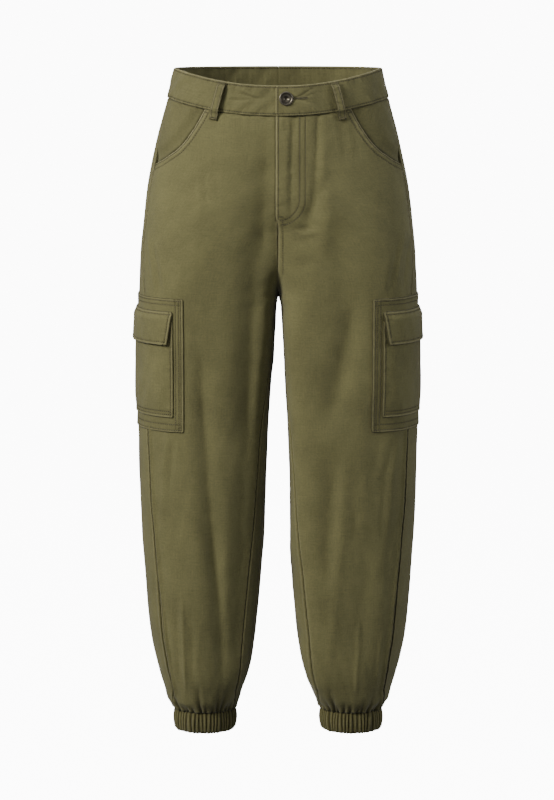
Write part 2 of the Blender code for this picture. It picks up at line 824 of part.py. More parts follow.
def flap_sheet(side, heights, out):
    """The flap is sewn to the backing above the pocket and lies over the pocket's top."""
    rows = []
    for height in heights:
        drop = clamp((FLAP_TOP - height) / (FLAP_TOP - FLAP_END))
        angles = pocket_columns(side, height, POCKET_FRONT, POCKET_BACK)
        angles[-1] -= FLAP_SLANT * drop / FOLD_RADIUS
        angles[0] += FLAP_SLANT * drop / FOLD_RADIUS
        over = ease((FLAP_TOP - height) / (FLAP_TOP - POCKET_TOP))
        row = []
        for angle in angles:
            share = (angle - angles[0]) / (angles[-1] - angles[0])
            lift = over * (POCKET_WALL + SEAM_GAP + pocket_puff(height, share))
            near_corner = 1 - ease(min(share, 1 - share) / FLAP_CORNER_SHARE)
            lift += drop * (FLAP_FLARE + FLAP_CORNER_LIFT * near_corner)
            row.append((angle, cloth_point(side, height, angle, out + lift)))
        rows.append(row)
    return rows


def build_flaps(material):
    heights = [height for height in PANEL_HEIGHTS if FLAP_END <= height <= FLAP_TOP]
    seat = BACKING_OUT + SEAM_GAP
    for word, side in SIDES:
        cloth_wall("pocket_flap_" + word,
                   flap_sheet(side, heights, seat + FLAP_WALL),
                   flap_sheet(side, heights, seat),
                   material)


def build_cuffs(material):
    columns = 2 * CUFF_RIBS
    for word, side in SIDES:
        outside = []
        for row in CUFF_ROWS:
            points = []
            for i in range(columns):
                angle = 2 * math.pi * (i + 0.25 * math.sin(2.3 * i)) / columns
                uneven = 1 - CUFF_UNEVEN + CUFF_UNEVEN * math.sin(1.7 * i + side)
                ridge = CUFF_RIB * row.rib * uneven if i % 2 else 0.0
                points.append((angle, cloth_point(side, row.height, angle, row.out + ridge)))
            outside.append(points)
        inside = []
        for height in (LEG_END, CUFF_END):
            angles = [2 * math.pi * i / CUFF_INSIDE_STEPS for i in range(CUFF_INSIDE_STEPS)]
            inside.append([(angle, cloth_point(side, height, angle, CUFF_INSIDE))
                           for angle in angles])
        cloth_wall("cuff_" + word, outside, inside, material, closed=True)


def build_button(material):
    """A turned face on the lapped end of the band, square to the cloth."""
    seat = BAND_PROUD + 0.0002 + BAND_LAP_RISE + SEAM_GAP + 0.0002
    angle = angle_from_centre(BUTTON_HEIGHT, BUTTON_FROM_CENTRE)
    centre = cloth_point(1, BUTTON_HEIGHT, angle, seat)
    above = cloth_point(1, BUTTON_HEIGHT + 0.01, angle, seat)
    beside = cloth_point(1, BUTTON_HEIGHT, angle - 0.05, seat)
    up = (above - centre).normalized()
    outward = up.cross(beside - centre).normalized() * -1
    if outward.y > 0:
        outward = -outward
    across = outward.cross(up)
    bm = bmesh.new()
    rings = []
    for ring in BUTTON_RINGS:
        turns = [2 * math.pi * i / BUTTON_SIDES for i in range(BUTTON_SIDES)]
        rings.append([bm.verts.new(centre + outward * ring.height
                                   + across * ring.radius * math.cos(turn)
                                   + up * ring.radius * math.sin(turn)) for turn in turns])
    for ring, next_ring in zip(rings, rings[1:]):
        for i in range(BUTTON_SIDES):
            j = (i + 1) % BUTTON_SIDES
            bm.faces.new((ring[i], ring[j], next_ring[j], next_ring[i]))
    bm.faces.new(rings[0])
    bm.faces.new(rings[-1])
    finish_object("button", bm, material)


def build_trousers():
    for old in list(bpy.data.objects):
        bpy.data.objects.remove(old)
    twill = make_material("olive_twill", (0.130, 0.115, 0.055), 0.85, 0.0)
    band_twill = make_material("olive_band_twill", (0.118, 0.104, 0.050), 0.85, 0.0)
    casing = make_material("olive_cuff_casing", (0.085, 0.076, 0.037), 0.88, 0.0)
    gunmetal = make_material("gunmetal_button", (0.090, 0.078, 0.062), 0.40, 1.0)
    build_panels(twill)
    build_facings(twill)
    build_waistband(band_twill)
    build_belt_loops(band_twill)
    build_backings(twill)
    build_cargo_pockets(twill)
    build_flaps(twill)
    build_cuffs(casing)
    build_button(gunmetal)


build_trousers()
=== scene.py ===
import math

import bpy
import numpy as np
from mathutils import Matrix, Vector


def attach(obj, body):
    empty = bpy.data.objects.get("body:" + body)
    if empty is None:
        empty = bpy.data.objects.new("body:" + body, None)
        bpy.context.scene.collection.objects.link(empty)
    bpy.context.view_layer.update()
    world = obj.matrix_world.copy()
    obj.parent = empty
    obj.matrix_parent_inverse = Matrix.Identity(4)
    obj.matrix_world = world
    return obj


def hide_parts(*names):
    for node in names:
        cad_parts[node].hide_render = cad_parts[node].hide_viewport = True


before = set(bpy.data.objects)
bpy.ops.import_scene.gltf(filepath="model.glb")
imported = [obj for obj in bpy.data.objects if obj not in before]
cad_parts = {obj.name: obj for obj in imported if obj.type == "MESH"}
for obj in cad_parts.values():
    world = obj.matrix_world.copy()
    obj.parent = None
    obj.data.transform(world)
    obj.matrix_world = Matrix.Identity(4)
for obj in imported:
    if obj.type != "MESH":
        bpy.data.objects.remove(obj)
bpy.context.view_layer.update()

sides = {"right": -1, "left": 1}                        # the wearer's right leg is on -X
print("frame loaded,", len(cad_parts), "nodes")

# camera, lights and floor

view = {
    "cameraPlace": (-0.00145, -4.2, 0.12),
    "tiltDown": 7.87,          # degrees below the horizon
    "lens": 131.6,
    "floorHeight": -1.32,
    "floorRadius": 11.0,       # here the floor turns up into a wall, all the way round
    "floorBend": 4.0,
    "wallHeight": 24.0,
    "floorGlow": 11.0,         # the paper is lit from behind, almost to white
    "worldStrength": 0.135,
}
lamps = [   # name, place, aimed at, size, watts, tint
    ("keySoftbox", (-3.4, -2.5, 2.1), (0.0, 0.0, -0.30), 1.5, 225, "#fffcf4"),
    ("frontFill", (-0.3, -4.4, 0.9), (0.0, 0.0, -0.50), 2.0, 14, "#f6f8ff"),
    ("topLight", (0.0, -0.5, 2.6), (0.0, 0.0, -0.20), 1.4, 14, "#ffffff"),
    ("rightSoftbox", (3.4, -0.7, 0.8), (0.0, 0.0, -0.50), 1.2, 34, "#ffffff"),
    ("backLight", (0.6, 3.0, 1.6), (0.0, 0.0, -0.45), 1.6, 20, "#ffffff"),
]


def linear(code):       # hex sRGB to linear red, green, blue and alpha
    values = [int(code[i:i + 2], 16) / 255 for i in (1, 3, 5)]
    return [v / 12.92 if v <= 0.04045 else ((v + 0.055) / 1.055) ** 2.4 for v in values] + [1.0]


def setInputs(tree, node, inputs):      # each is a value, or a socket to link from
    for name, value in inputs.items():
        if isinstance(value, bpy.types.NodeSocket):
            tree.links.new(value, node.inputs[name])
        else:
            node.inputs[name].default_value = value


def addNode(tree, kind, output, inputs=None, **settings):       # gives the output that is used
    node = tree.nodes.new(kind)
    for name, value in settings.items():
        setattr(node, name, value)
    setInputs(tree, node, inputs or {})
    return node.outputs[output]


def placeCamera():
    data = bpy.data.cameras.new("camera")
    data.lens = view["lens"]
    camera = bpy.data.objects.new("camera", data)
    camera.location = view["cameraPlace"]
    camera.rotation_euler = (math.radians(90 - view["tiltDown"]), 0, 0)
    bpy.context.scene.collection.objects.link(camera)
    bpy.context.scene.camera = camera


def placeLamps():
    for name, place, target, size, watts, tint in lamps:
        data = bpy.data.lights.new(name, "AREA")
        data.size = size
        data.energy = watts
        data.color = linear(tint)[:3]
        lamp = bpy.data.objects.new(name, data)
        lamp.location = place
        lamp.rotation_euler = (Vector(target) - Vector(place)).to_track_quat("-Z", "Y").to_euler()
        bpy.context.scene.collection.objects.link(lamp)
    world = bpy.data.worlds.new("paleStudio")
    world.use_nodes = True
    sky = world.node_tree.nodes["Background"]
    setInputs(world.node_tree, sky, {"Color": (1, 1, 1, 1), "Strength": view["worldStrength"]})
    bpy.context.scene.world = world


def newMaterial(name):
    material = bpy.data.materials.new(name)
    material.use_nodes = True
    return material, material.node_tree, material.node_tree.nodes["Principled BSDF"]


def layFloor():         # a round paper floor that curves up into a wall
    radius, bend = view["floorRadius"], view["floorBend"]
    turns = [math.pi / 2 * i / 12 for i in range(13)]
    profile = [(radius + bend * math.sin(turn), bend * (1 - math.cos(turn))) for turn in turns]
    profile = [(0.02, 0.0)] + profile + [(radius + bend, view["wallHeight"])]
    around = 60
    angles = [math.radians(360 / around * k) for k in range(around)]
    points = [(reach * math.cos(angle), reach * math.sin(angle), view["floorHeight"] + rise)
              for reach, rise in profile for angle in angles]
    faces = [(around * i + k, around * (i + 1) + k, around * (i + 1) + (k + 1) % around,
              around * i + (k + 1) % around) for i in range(len(profile) - 1) for k in range(around)]
    faces.append(tuple(range(around)))
    mesh = bpy.data.meshes.new("paleFloor")
    mesh.from_pydata(points, [], faces)
    mesh.shade_smooth()
    floor = bpy.data.objects.new("paleFloor", mesh)
    bpy.context.scene.collection.objects.link(floor)
    paper, tree, shader = newMaterial("studioPaper")    # matt white background paper
    setInputs(tree, shader, {
        "Base Color": linear("#f4f4f2"), "Roughness": 0.9, "Emission Color": (1, 1, 1, 1),
        "Emission Strength": view["floorGlow"]})
    mesh.materials.append(paper)
    floor.visible_diffuse = False       # the lamps alone light the cloth
    floor.visible_glossy = False


placeCamera()
placeLamps()
layFloor()
print("camera, lights and floor set")

# materials

cloth = {
    "twillColour": "#716e4a",
    "twillShade": "#322f1b",       # painted shade: in stitched channels, along seams, in valleys and beside edges
    "twillWornLit": "#a19b75",        # where a rolled edge has rubbed, and painted highlight on rolled edges
    "bandColour": "#6f6c49",
    # the same twill's colour, painted darker as shade for the gathered cuffs
    "casingShadedColour": "#5c5934",
    "twillLine": 0.0010,           # the real lines are 0.6 mm apart, too fine to draw, so they are coarser
    "lineDepth": 0.00022,
    "warpLumps": (1500, 38, 1),    # to a metre: the yarns along the leg swell every 0.7 mm by 26 mm
    "weftLumps": (44, 1300, 1),    # and those across it every 23 mm by 0.8 mm
    "clouds": 16.0,                # to a metre, so 62 mm
    "flecks": 360.0,               # 2.8 mm
    "mottle": (0.70, 1.33),        # from the darkest to the lightest
    "wearAndLight": 1.1,
    "shading": 0.85,
    "roughness": 0.88,
    "roughSpread": (0.05, 0.07),
    "sheen": 0.18,
}
threadColours = {"low": "#7c7652", "high": "#979066", "sunkShade": "#1b190e"}
metalColours = {"dark": "#4d483f", "plain": "#5b564b", "rubbed": "#979182"}


def makeCloth(name, colour):
    material, tree, shader = newMaterial(name)
    place = addNode(tree, "ShaderNodeUVMap", "UV", uv_map="cut")
    # lines of the twill, leaning to the right
    lines = addNode(tree, "ShaderNodeTexWave", "Fac", {
        "Vector": place, "Scale": 2 * math.pi / (10 * math.sqrt(2) * cloth["twillLine"]),
        "Distortion": 1.2, "Detail": 2.0, "Detail Scale": 0.4}, bands_direction="DIAGONAL")
    # thicker and thinner yarns along the length and across it
    warp, weft = [addNode(tree, "ShaderNodeTexNoise", "Fac", {
        "Vector": addNode(tree, "ShaderNodeMapping", "Vector", {"Vector": place, "Scale": cloth[lumps]}),
        "Scale": 1.0, "Detail": 2.0}) for lumps in ("warpLumps", "weftLumps")]
    # uneven take-up of the dye, in soft clouds and in small flecks
    clouds = addNode(tree, "ShaderNodeTexNoise", "Fac", {
        "Vector": place, "Scale": cloth["clouds"], "Detail": 5.0, "Roughness": 0.55})
    flecks = addNode(tree, "ShaderNodeTexNoise", "Fac", {
        "Vector": place, "Scale": cloth["flecks"], "Detail": 3.0, "Roughness": 0.6})
    yarns = addNode(tree, "ShaderNodeMath", "Value", {0: warp, 1: weft}, operation="ADD")
    dye = addNode(tree, "ShaderNodeMath", "Value", {0: clouds, 1: 1.6, 2: yarns}, operation="MULTIPLY_ADD")
    tone = addNode(tree, "ShaderNodeMath", "Value", {0: flecks, 1: 1.3, 2: dye}, operation="MULTIPLY_ADD")
    darkest, lightest = cloth["mottle"]
    bright = addNode(tree, "ShaderNodeMapRange", "Result", {
        "Value": tone, "From Min": 1.5, "From Max": 3.0, "To Min": darkest, "To Max": lightest})
    dyed = addNode(tree, "ShaderNodeMix", "Result", {
        "Factor": 1.0, "A": linear(colour), "B": bright}, data_type="RGBA", blend_type="MULTIPLY")
    # wear and painted highlight on rolled edges, and painted shade in seams, stitched channels, valleys and
    # beside edges
    wornAndLit, shade = [addNode(tree, "ShaderNodeAttribute", "Fac", attribute_name=mark)
                   for mark in ("wornAndLit", "shade")]
    wearLightMask = addNode(tree, "ShaderNodeMath", "Value", {0: wornAndLit, 1: flecks}, operation="MULTIPLY")
    wearLightShare = addNode(tree, "ShaderNodeMath", "Value", {0: wearLightMask, 1: cloth["wearAndLight"]},
                       operation="MULTIPLY", use_clamp=True)
    rubbed = addNode(tree, "ShaderNodeMix", "Result", {
        "Factor": wearLightShare, "A": dyed, "B": linear(cloth["twillWornLit"])}, data_type="RGBA")
    dark = addNode(tree, "ShaderNodeMath", "Value", {0: shade, 1: cloth["shading"]},
                   operation="MULTIPLY", use_clamp=True)
    finished = addNode(tree, "ShaderNodeMix", "Result", {
        "Factor": dark, "A": rubbed, "B": linear(cloth["twillShade"])}, data_type="RGBA")
    ridges = addNode(tree, "ShaderNodeMath", "Value", {0: lines, 1: 0.8, 2: tone}, operation="MULTIPLY_ADD")
    normal = addNode(tree, "ShaderNodeBump", "Normal", {
        "Height": ridges, "Strength": 0.7, "Distance": cloth["lineDepth"]})
    less, more = cloth["roughSpread"]
    dullness = addNode(tree, "ShaderNodeMapRange", "Result", {
        "Value": clouds, "To Min": cloth["roughness"] - less, "To Max": cloth["roughness"] + more})
    setInputs(tree, shader, {
        "Base Color": finished, "Normal": normal, "Roughness": dullness, "Specular IOR Level": 0.25,
        "Sheen Weight": cloth["sheen"], "Sheen Roughness": 0.45})
    return material


def makeThread():
    # spun polyester sewing thread, dyed to the cloth: two plies twisted, with a slight gloss
    material, tree, shader = newMaterial("sewingThread")
    place = addNode(tree, "ShaderNodeTexCoord", "Object")
    twist = addNode(tree, "ShaderNodeTexNoise", "Fac", {
        "Vector": place, "Scale": 1400.0, "Detail": 2.0})       # 0.7 mm, the length of a twist
    shade = addNode(tree, "ShaderNodeAttribute", "Fac", attribute_name="shade")
    lit = addNode(tree, "ShaderNodeMix", "Result", {
        "Factor": twist, "A": linear(threadColours["low"]), "B": linear(threadColours["high"])},
        data_type="RGBA")
    # painted shade on the sunk ends and flanks of each stitch
    finished = addNode(tree, "ShaderNodeMix", "Result", {
        "Factor": shade, "A": lit, "B": linear(threadColours["sunkShade"])}, data_type="RGBA")
    normal = addNode(tree, "ShaderNodeBump", "Normal", {
        "Height": twist, "Strength": 0.6, "Distance": 0.00008})
    gloss = addNode(tree, "ShaderNodeMapRange", "Result", {"Value": twist, "To Min": 0.5, "To Max": 0.75})
    setInputs(tree, shader, {"Base Color": finished, "Normal": normal, "Roughness": gloss})
    return material


def makeGunmetal():
    # pressed brass cap with a gunmetal plating: dark, satin, brighter where it has rubbed
    material, tree, shader = newMaterial("gunmetalPlating")
    place = addNode(tree, "ShaderNodeTexCoord", "Object")
    grain = addNode(tree, "ShaderNodeTexNoise", "Fac", {
        "Vector": place, "Scale": 900.0, "Detail": 4.0})        # 1.1 mm, with finer scratches in it
    patches = addNode(tree, "ShaderNodeTexNoise", "Fac", {
        "Vector": place, "Scale": 240.0, "Detail": 3.0})        # 4 mm
    edge = addNode(tree, "ShaderNodeNewGeometry", "Pointiness")
    rubbed = addNode(tree, "ShaderNodeMapRange", "Result", {
        "Value": edge, "From Min": 0.50, "From Max": 0.60})
    base = addNode(tree, "ShaderNodeMix", "Result", {
        "Factor": patches, "A": linear(metalColours["dark"]), "B": linear(metalColours["plain"])},
        data_type="RGBA")
    finished = addNode(tree, "ShaderNodeMix", "Result", {
        "Factor": rubbed, "A": base, "B": linear(metalColours["rubbed"])}, data_type="RGBA")
    rough = addNode(tree, "ShaderNodeMapRange", "Result", {"Value": grain, "To Min": 0.26, "To Max": 0.48})
    normal = addNode(tree, "ShaderNodeBump", "Normal", {
        "Height": grain, "Strength": 0.35, "Distance": 0.00005})
    setInputs(tree, shader, {"Base Color": finished, "Normal": normal, "Roughness": rough, "Metallic": 0.9})
    return material


# garment-dyed cotton twill, brushed: matt, slightly mottled, with a short soft nap
twillCloth = makeCloth("cottonTwill", cloth["twillColour"])
# the same twill in two layers, pressed flat and a little darker
bandCloth = makeCloth("bandTwill", cloth["bandColour"])
# the same twill gathered tight over elastic, painted darker overall as shade, with painted shade between the
# ribs
shadedCasingCloth = makeCloth("shadedCasingTwill", cloth["casingShadedColour"])
threadMaterial = makeThread()
metalMaterial = makeGunmetal()
print("materials made")

# form of the trousers: the surface that the solids are cut from, with the legs squarer inside

form = {
    "bandTop": 0.0185,
    "waistSeam": -0.024,
    "crotch": -0.302,
    "legEnd": -0.915,
    "cuffEnd": -0.946,
    "seamGap": 0.0003,
    "frontDip": 0.0225,        # the waist is this much lower at the centre front
    "dipPower": 2.3,
    "dipFadeEnd": -0.22,
    "crotchBend": 0.215,
    "crotchRound": 1.55,
    "cleft": 1.9,              # the legs are squarer inside, near the crotch
    "cleftSpan": (-0.640, 0.320, -0.200, 0.085),       # lowest, its fade, highest and its fade
    "flatInside": 1.9,         # and all the way down
    "flatSpan": (-0.915, 0.045, -0.280, 0.080),
    "twill": 0.0015,
}
legSections = [     # height, outer, inner, front, back, square
    (0.030, 0.1440, 0.0000, 0.0975, 0.0995, 2.15),
    (0.0185, 0.1470, 0.0000, 0.0990, 0.1020, 2.15),
    (-0.024, 0.1575, 0.0000, 0.1055, 0.1110, 2.20),
    (-0.070, 0.1700, 0.0000, 0.1120, 0.1220, 2.25),
    (-0.115, 0.1803, 0.0000, 0.1165, 0.1300, 2.30),
    (-0.156, 0.1878, 0.0000, 0.1190, 0.1350, 2.30),
    (-0.200, 0.1932, 0.0000, 0.1200, 0.1380, 2.30),
    (-0.243, 0.1976, 0.0000, 0.1190, 0.1370, 2.30),
    (-0.302, 0.2000, 0.0000, 0.1160, 0.1270, 2.25),
    (-0.318, 0.2002, 0.0036, 0.1153, 0.1240, 2.22),
    (-0.350, 0.2005, 0.0056, 0.1138, 0.1185, 2.20),
    (-0.400, 0.2010, 0.0085, 0.1115, 0.1120, 2.20),
    (-0.450, 0.2016, 0.0112, 0.1090, 0.1070, 2.20),
    (-0.500, 0.2026, 0.0138, 0.1065, 0.1030, 2.15),
    (-0.550, 0.2018, 0.0160, 0.1030, 0.1000, 2.15),
    (-0.600, 0.2000, 0.0178, 0.0990, 0.0970, 2.15),
    (-0.650, 0.1980, 0.0196, 0.0940, 0.0940, 2.10),
    (-0.700, 0.1950, 0.0232, 0.0890, 0.0910, 2.10),
    (-0.750, 0.1914, 0.0274, 0.0835, 0.0875, 2.10),
    (-0.800, 0.1864, 0.0325, 0.0775, 0.0830, 2.10),
    (-0.838, 0.1790, 0.0381, 0.0720, 0.0770, 2.05),
    (-0.861, 0.1730, 0.0436, 0.0670, 0.0710, 2.05),
    (-0.883, 0.1664, 0.0512, 0.0600, 0.0630, 2.05),
    (-0.900, 0.1600, 0.0578, 0.0525, 0.0545, 2.00),
    (-0.915, 0.1515, 0.0632, 0.0440, 0.0440, 2.00),
    (-0.950, 0.1510, 0.0638, 0.0425, 0.0425, 2.00),
]
outseamPlaces = [   # height, how far the seam lies ahead of the side
    (0.000, 0.012), (-0.024, 0.015), (-0.055, 0.020), (-0.110, 0.035), (-0.156, 0.037),
    (-0.210, 0.042), (-0.258, 0.049), (-0.302, 0.058), (-0.400, 0.063), (-0.520, 0.065),
    (-0.594, 0.063), (-0.660, 0.061), (-0.744, 0.058), (-0.813, 0.053), (-0.875, 0.041),
    (-0.915, 0.022), (-0.950, 0.020),
]
inseamPlaces = [
    (-0.302, 0.000), (-0.400, 0.018), (-0.500, 0.036), (-0.600, 0.045), (-0.700, 0.048),
    (-0.800, 0.045), (-0.870, 0.035), (-0.915, 0.020), (-0.950, 0.020),
]
mouthPlaces = [     # height, distance of the pocket mouth from the centre
    (-0.024, 0.1030), (-0.052, 0.1176), (-0.084, 0.1386), (-0.106, 0.1620), (-0.116, 0.1755),
]
mouthEnd = mouthPlaces[-1][0]       # where the mouth meets the outseam


def curveThrough(rows, column):     # a smooth curve through one column of a table, by height
    ordered = np.array(sorted(rows))
    heights = ordered[:, 0]
    values = ordered[:, column]
    slopes = np.diff(values) / np.diff(heights)
    before = np.append(slopes[:1], slopes)
    after = np.append(slopes, slopes[-1:])
    same = before * after > 0
    total = np.where(same, before + after, 1.0)
    tangents = np.where(same, 2 * before * after / total, 0.0)

    def valueAt(height):
        place = np.clip(height, heights[0], heights[-1])
        i = np.clip(np.searchsorted(heights, place, side="right") - 1, 0, len(slopes) - 1)
        span = heights[i + 1] - heights[i]
        t = (place - heights[i]) / span
        return ((1 + 2 * t) * (1 - t) ** 2 * values[i] + t * (1 - t) ** 2 * span * tangents[i]
                + t * t * (3 - 2 * t) * values[i + 1] + t * t * (t - 1) * span * tangents[i + 1])

    return valueAt


sectionCurves = [curveThrough(legSections, column) for column in range(1, 6)]
outseamAhead = curveThrough(outseamPlaces, 1)
inseamAhead = curveThrough(inseamPlaces, 1)
mouthFromCentre = curveThrough(mouthPlaces, 1)


def ease(value):
    value = np.clip(value, 0, 1)
    return value * value * (3 - 2 * value)


def bell(away, width, power=2):         # 1 at no distance, and next to nothing past twice the width
    return np.exp(-(away / width) ** power)


def ridge(away, size):      # size is a height, how far off it lies, and its half width
    height, place, width = size
    return height * bell(away - place, width)


def within(height, lowest, lowFade, highest, highFade):     # 1 between two heights, fading out at both
    return ease((height - lowest) / lowFade) * ease((highest - height) / highFade)


def shapeAt(height):    # centre, half width, front, back, outer and inner squareness, open share, lean
    height = np.asarray(height, float)
    outer, inner, front, back, square = [curve(height) for curve in sectionCurves]
    rise = np.clip((height - form["crotch"]) / form["crotchBend"], 0, 1)
    lean = (1 - rise ** form["crotchRound"]) ** 2
    tight = (square + form["cleft"] * within(height, *form["cleftSpan"])
             + form["flatInside"] * within(height, *form["flatSpan"]))
    openShare = (1 - lean ** tight) ** (1 / tight)
    above = height > form["crotch"]
    half = np.where(above, outer / (1 + lean), (outer - inner) / 2)
    centre = np.where(above, half * lean, (outer + inner) / 2)
    return centre, half, front, back, square, tight, np.where(above, openShare, 0.0), lean


def ovalPoint(angle, square, tight):
    x = np.cos(angle)
    y = np.sin(angle)
    power = np.where(x < 0, tight, square)
    size = (np.abs(x) ** power + np.abs(y) ** power) ** (1 / power)
    return x / size, y / size, power


def angleFromCentre(height, fromCentre):    # of the point on the front, at a distance from the centre
    centre, half, _, _, square, tight, _, _ = shapeAt(height)
    x = np.clip((fromCentre - centre) / half, -1, 1)
    power = np.where(x < 0, tight, square)
    return np.arctan2((1 - np.abs(x) ** power) ** (1 / power), x)


def distanceFromCentre(height, angle):
    centre, half, _, _, square, tight, _, _ = shapeAt(height)
    return centre + half * ovalPoint(angle, square, tight)[0]


def outseamAngle(height):
    shape = shapeAt(height)
    y = outseamAhead(height) / shape[2]
    return np.arctan2(y, (1 - y ** shape[4]) ** (1 / shape[4]))


def inseamAngle(height):
    _, _, front, _, square, tight, _, _ = shapeAt(height)
    x = (1 - (inseamAhead(height) / front) ** square) ** (1 / square)
    return math.pi - np.arctan2((1 - x ** tight) ** (1 / tight), x)


def centreAngle(height):
    shape = shapeAt(height)
    return math.pi - np.arctan2(shape[6], shape[7])


def mouthAngle(height):     # outer edge of a front panel: the pocket mouth, then the outseam
    onMouth = angleFromCentre(height, mouthFromCentre(height))
    return np.where(height > mouthEnd, onMouth, outseamAngle(height))


def formAt(side, height, angle):    # point on the form, and its outward direction
    height, angle = np.broadcast_arrays(np.asarray(height, float), np.asarray(angle, float))
    centre, half, front, back, square, tight, _, _ = shapeAt(height)
    x, y, power = ovalPoint(angle, square, tight)
    depth = np.where(y > 0, front, back)
    normalX = np.sign(x) * np.abs(x) ** (power - 1) / half
    normalY = -np.sign(y) * np.abs(y) ** (power - 1) / depth
    size = np.hypot(normalX, normalY)
    fade = 1 - ease((form["waistSeam"] - height) / (form["waistSeam"] - form["dipFadeEnd"]))
    dip = form["frontDip"] * np.maximum(y, 0) ** form["dipPower"] * fade
    point = np.stack([side * (form["seamGap"] / 2 + centre + half * x), -depth * y, height - dip], -1)
    normal = np.stack([side * normalX / size, normalY / size, np.zeros_like(x)], -1)
    return point, normal


def pushed(side, height, angle, out):
    point, normal = formAt(side, height, angle)
    return point + normal * np.broadcast_to(out, point.shape[:-1])[..., None]


# folds and creases

foldRadius = 0.100      # turns an angle into a distance over the cloth
foldEnds = 0.30         # the share of its length over which each end of a fold fades
folds = [   # side, face, half width, depth, sharpness, then heights and distances from the centre;
    # side is -1 on the right leg, face is -1 behind, and a negative depth makes a ridge
    (-1, 1, 0.018, 0.0026, 2.0, (-0.080, 0.016), (-0.150, 0.022), (-0.210, 0.030)),
    (-1, 1, 0.018, 0.0092, 1.8, (-0.150, 0.022), (-0.250, 0.030), (-0.370, 0.037), (-0.570, 0.040)),
    (-1, 1, 0.022, 0.0026, 2.0, (-0.300, 0.040), (-0.400, 0.036), (-0.560, 0.032)),
    (-1, 1, 0.014, 0.0074, 1.7, (-0.320, 0.115), (-0.446, 0.107), (-0.520, 0.102), (-0.620, 0.096),
     (-0.720, 0.088)),
    (-1, 1, 0.013, 0.0078, 1.7, (-0.600, 0.097), (-0.705, 0.090), (-0.790, 0.083), (-0.880, 0.079)),
    (-1, 1, 0.014, 0.0030, 2.0, (-0.620, 0.046), (-0.860, 0.062)),
    (-1, 1, 0.0080, 0.0036, 1.8, (-0.030, 0.015), (-0.120, 0.019), (-0.190, 0.020), (-0.275, 0.016)),
    (1, 1, 0.014, 0.0009, 2.0, (-0.030, 0.055), (-0.175, 0.050)),
    (1, 1, 0.018, 0.0030, 1.8, (-0.180, 0.078), (-0.250, 0.090), (-0.330, 0.098)),
    (1, 1, 0.0090, -0.0036, 1.8, (-0.110, 0.060), (-0.178, 0.0715), (-0.255, 0.058)),
    (1, 1, 0.0052, 0.0030, 1.8, (-0.108, 0.073), (-0.140, 0.0620), (-0.172, 0.0460), (-0.205, 0.034)),
    (1, 1, 0.017, 0.0052, 1.8, (-0.270, 0.108), (-0.360, 0.100), (-0.440, 0.082), (-0.510, 0.062)),
    (1, 1, 0.018, 0.0036, 2.0, (-0.420, 0.140), (-0.520, 0.140), (-0.640, 0.138)),
    (1, 1, 0.018, 0.0036, 2.0, (-0.600, 0.128), (-0.740, 0.122), (-0.850, 0.124)),
    (1, 1, 0.014, 0.0040, 2.0, (-0.500, 0.076), (-0.620, 0.074), (-0.740, 0.066)),
    (-1, 1, 0.038, -0.0062, 2.0, (-0.440, 0.108), (-0.600, 0.110), (-0.750, 0.108), (-0.920, 0.100)),
    (-1, 1, 0.030, -0.0026, 2.0, (-0.290, 0.0003), (-0.330, 0.0045), (-0.430, 0.0102)),
    (-1, 1, 0.034, 0.0085, 2.0, (-0.270, 0.013), (-0.350, 0.022), (-0.450, 0.031), (-0.650, 0.037),
     (-0.800, 0.046), (-0.900, 0.064), (-0.960, 0.072)),
    (1, 1, 0.032, -0.0050, 2.0, (-0.560, 0.0163), (-0.700, 0.0232), (-0.800, 0.0325), (-0.883, 0.0512),
     (-0.950, 0.0638)),
    (-1, -1, 0.022, 0.0045, 2.0, (-0.240, 0.050), (-0.350, 0.090)),
    (-1, -1, 0.024, 0.0040, 2.0, (-0.330, 0.060), (-0.560, 0.080)),
    (-1, -1, 0.020, 0.0040, 2.0, (-0.560, 0.130), (-0.830, 0.120)),
    (-1, -1, 0.016, 0.0036, 2.0, (-0.600, 0.080), (-0.860, 0.090)),
    (1, -1, 0.022, 0.0045, 2.0, (-0.240, 0.050), (-0.340, 0.085)),
    (1, -1, 0.024, 0.0040, 2.0, (-0.320, 0.065), (-0.580, 0.085)),
    (1, -1, 0.020, 0.0040, 2.0, (-0.540, 0.135), (-0.800, 0.125)),
    (1, -1, 0.016, 0.0036, 2.0, (-0.620, 0.085), (-0.860, 0.095)),
]
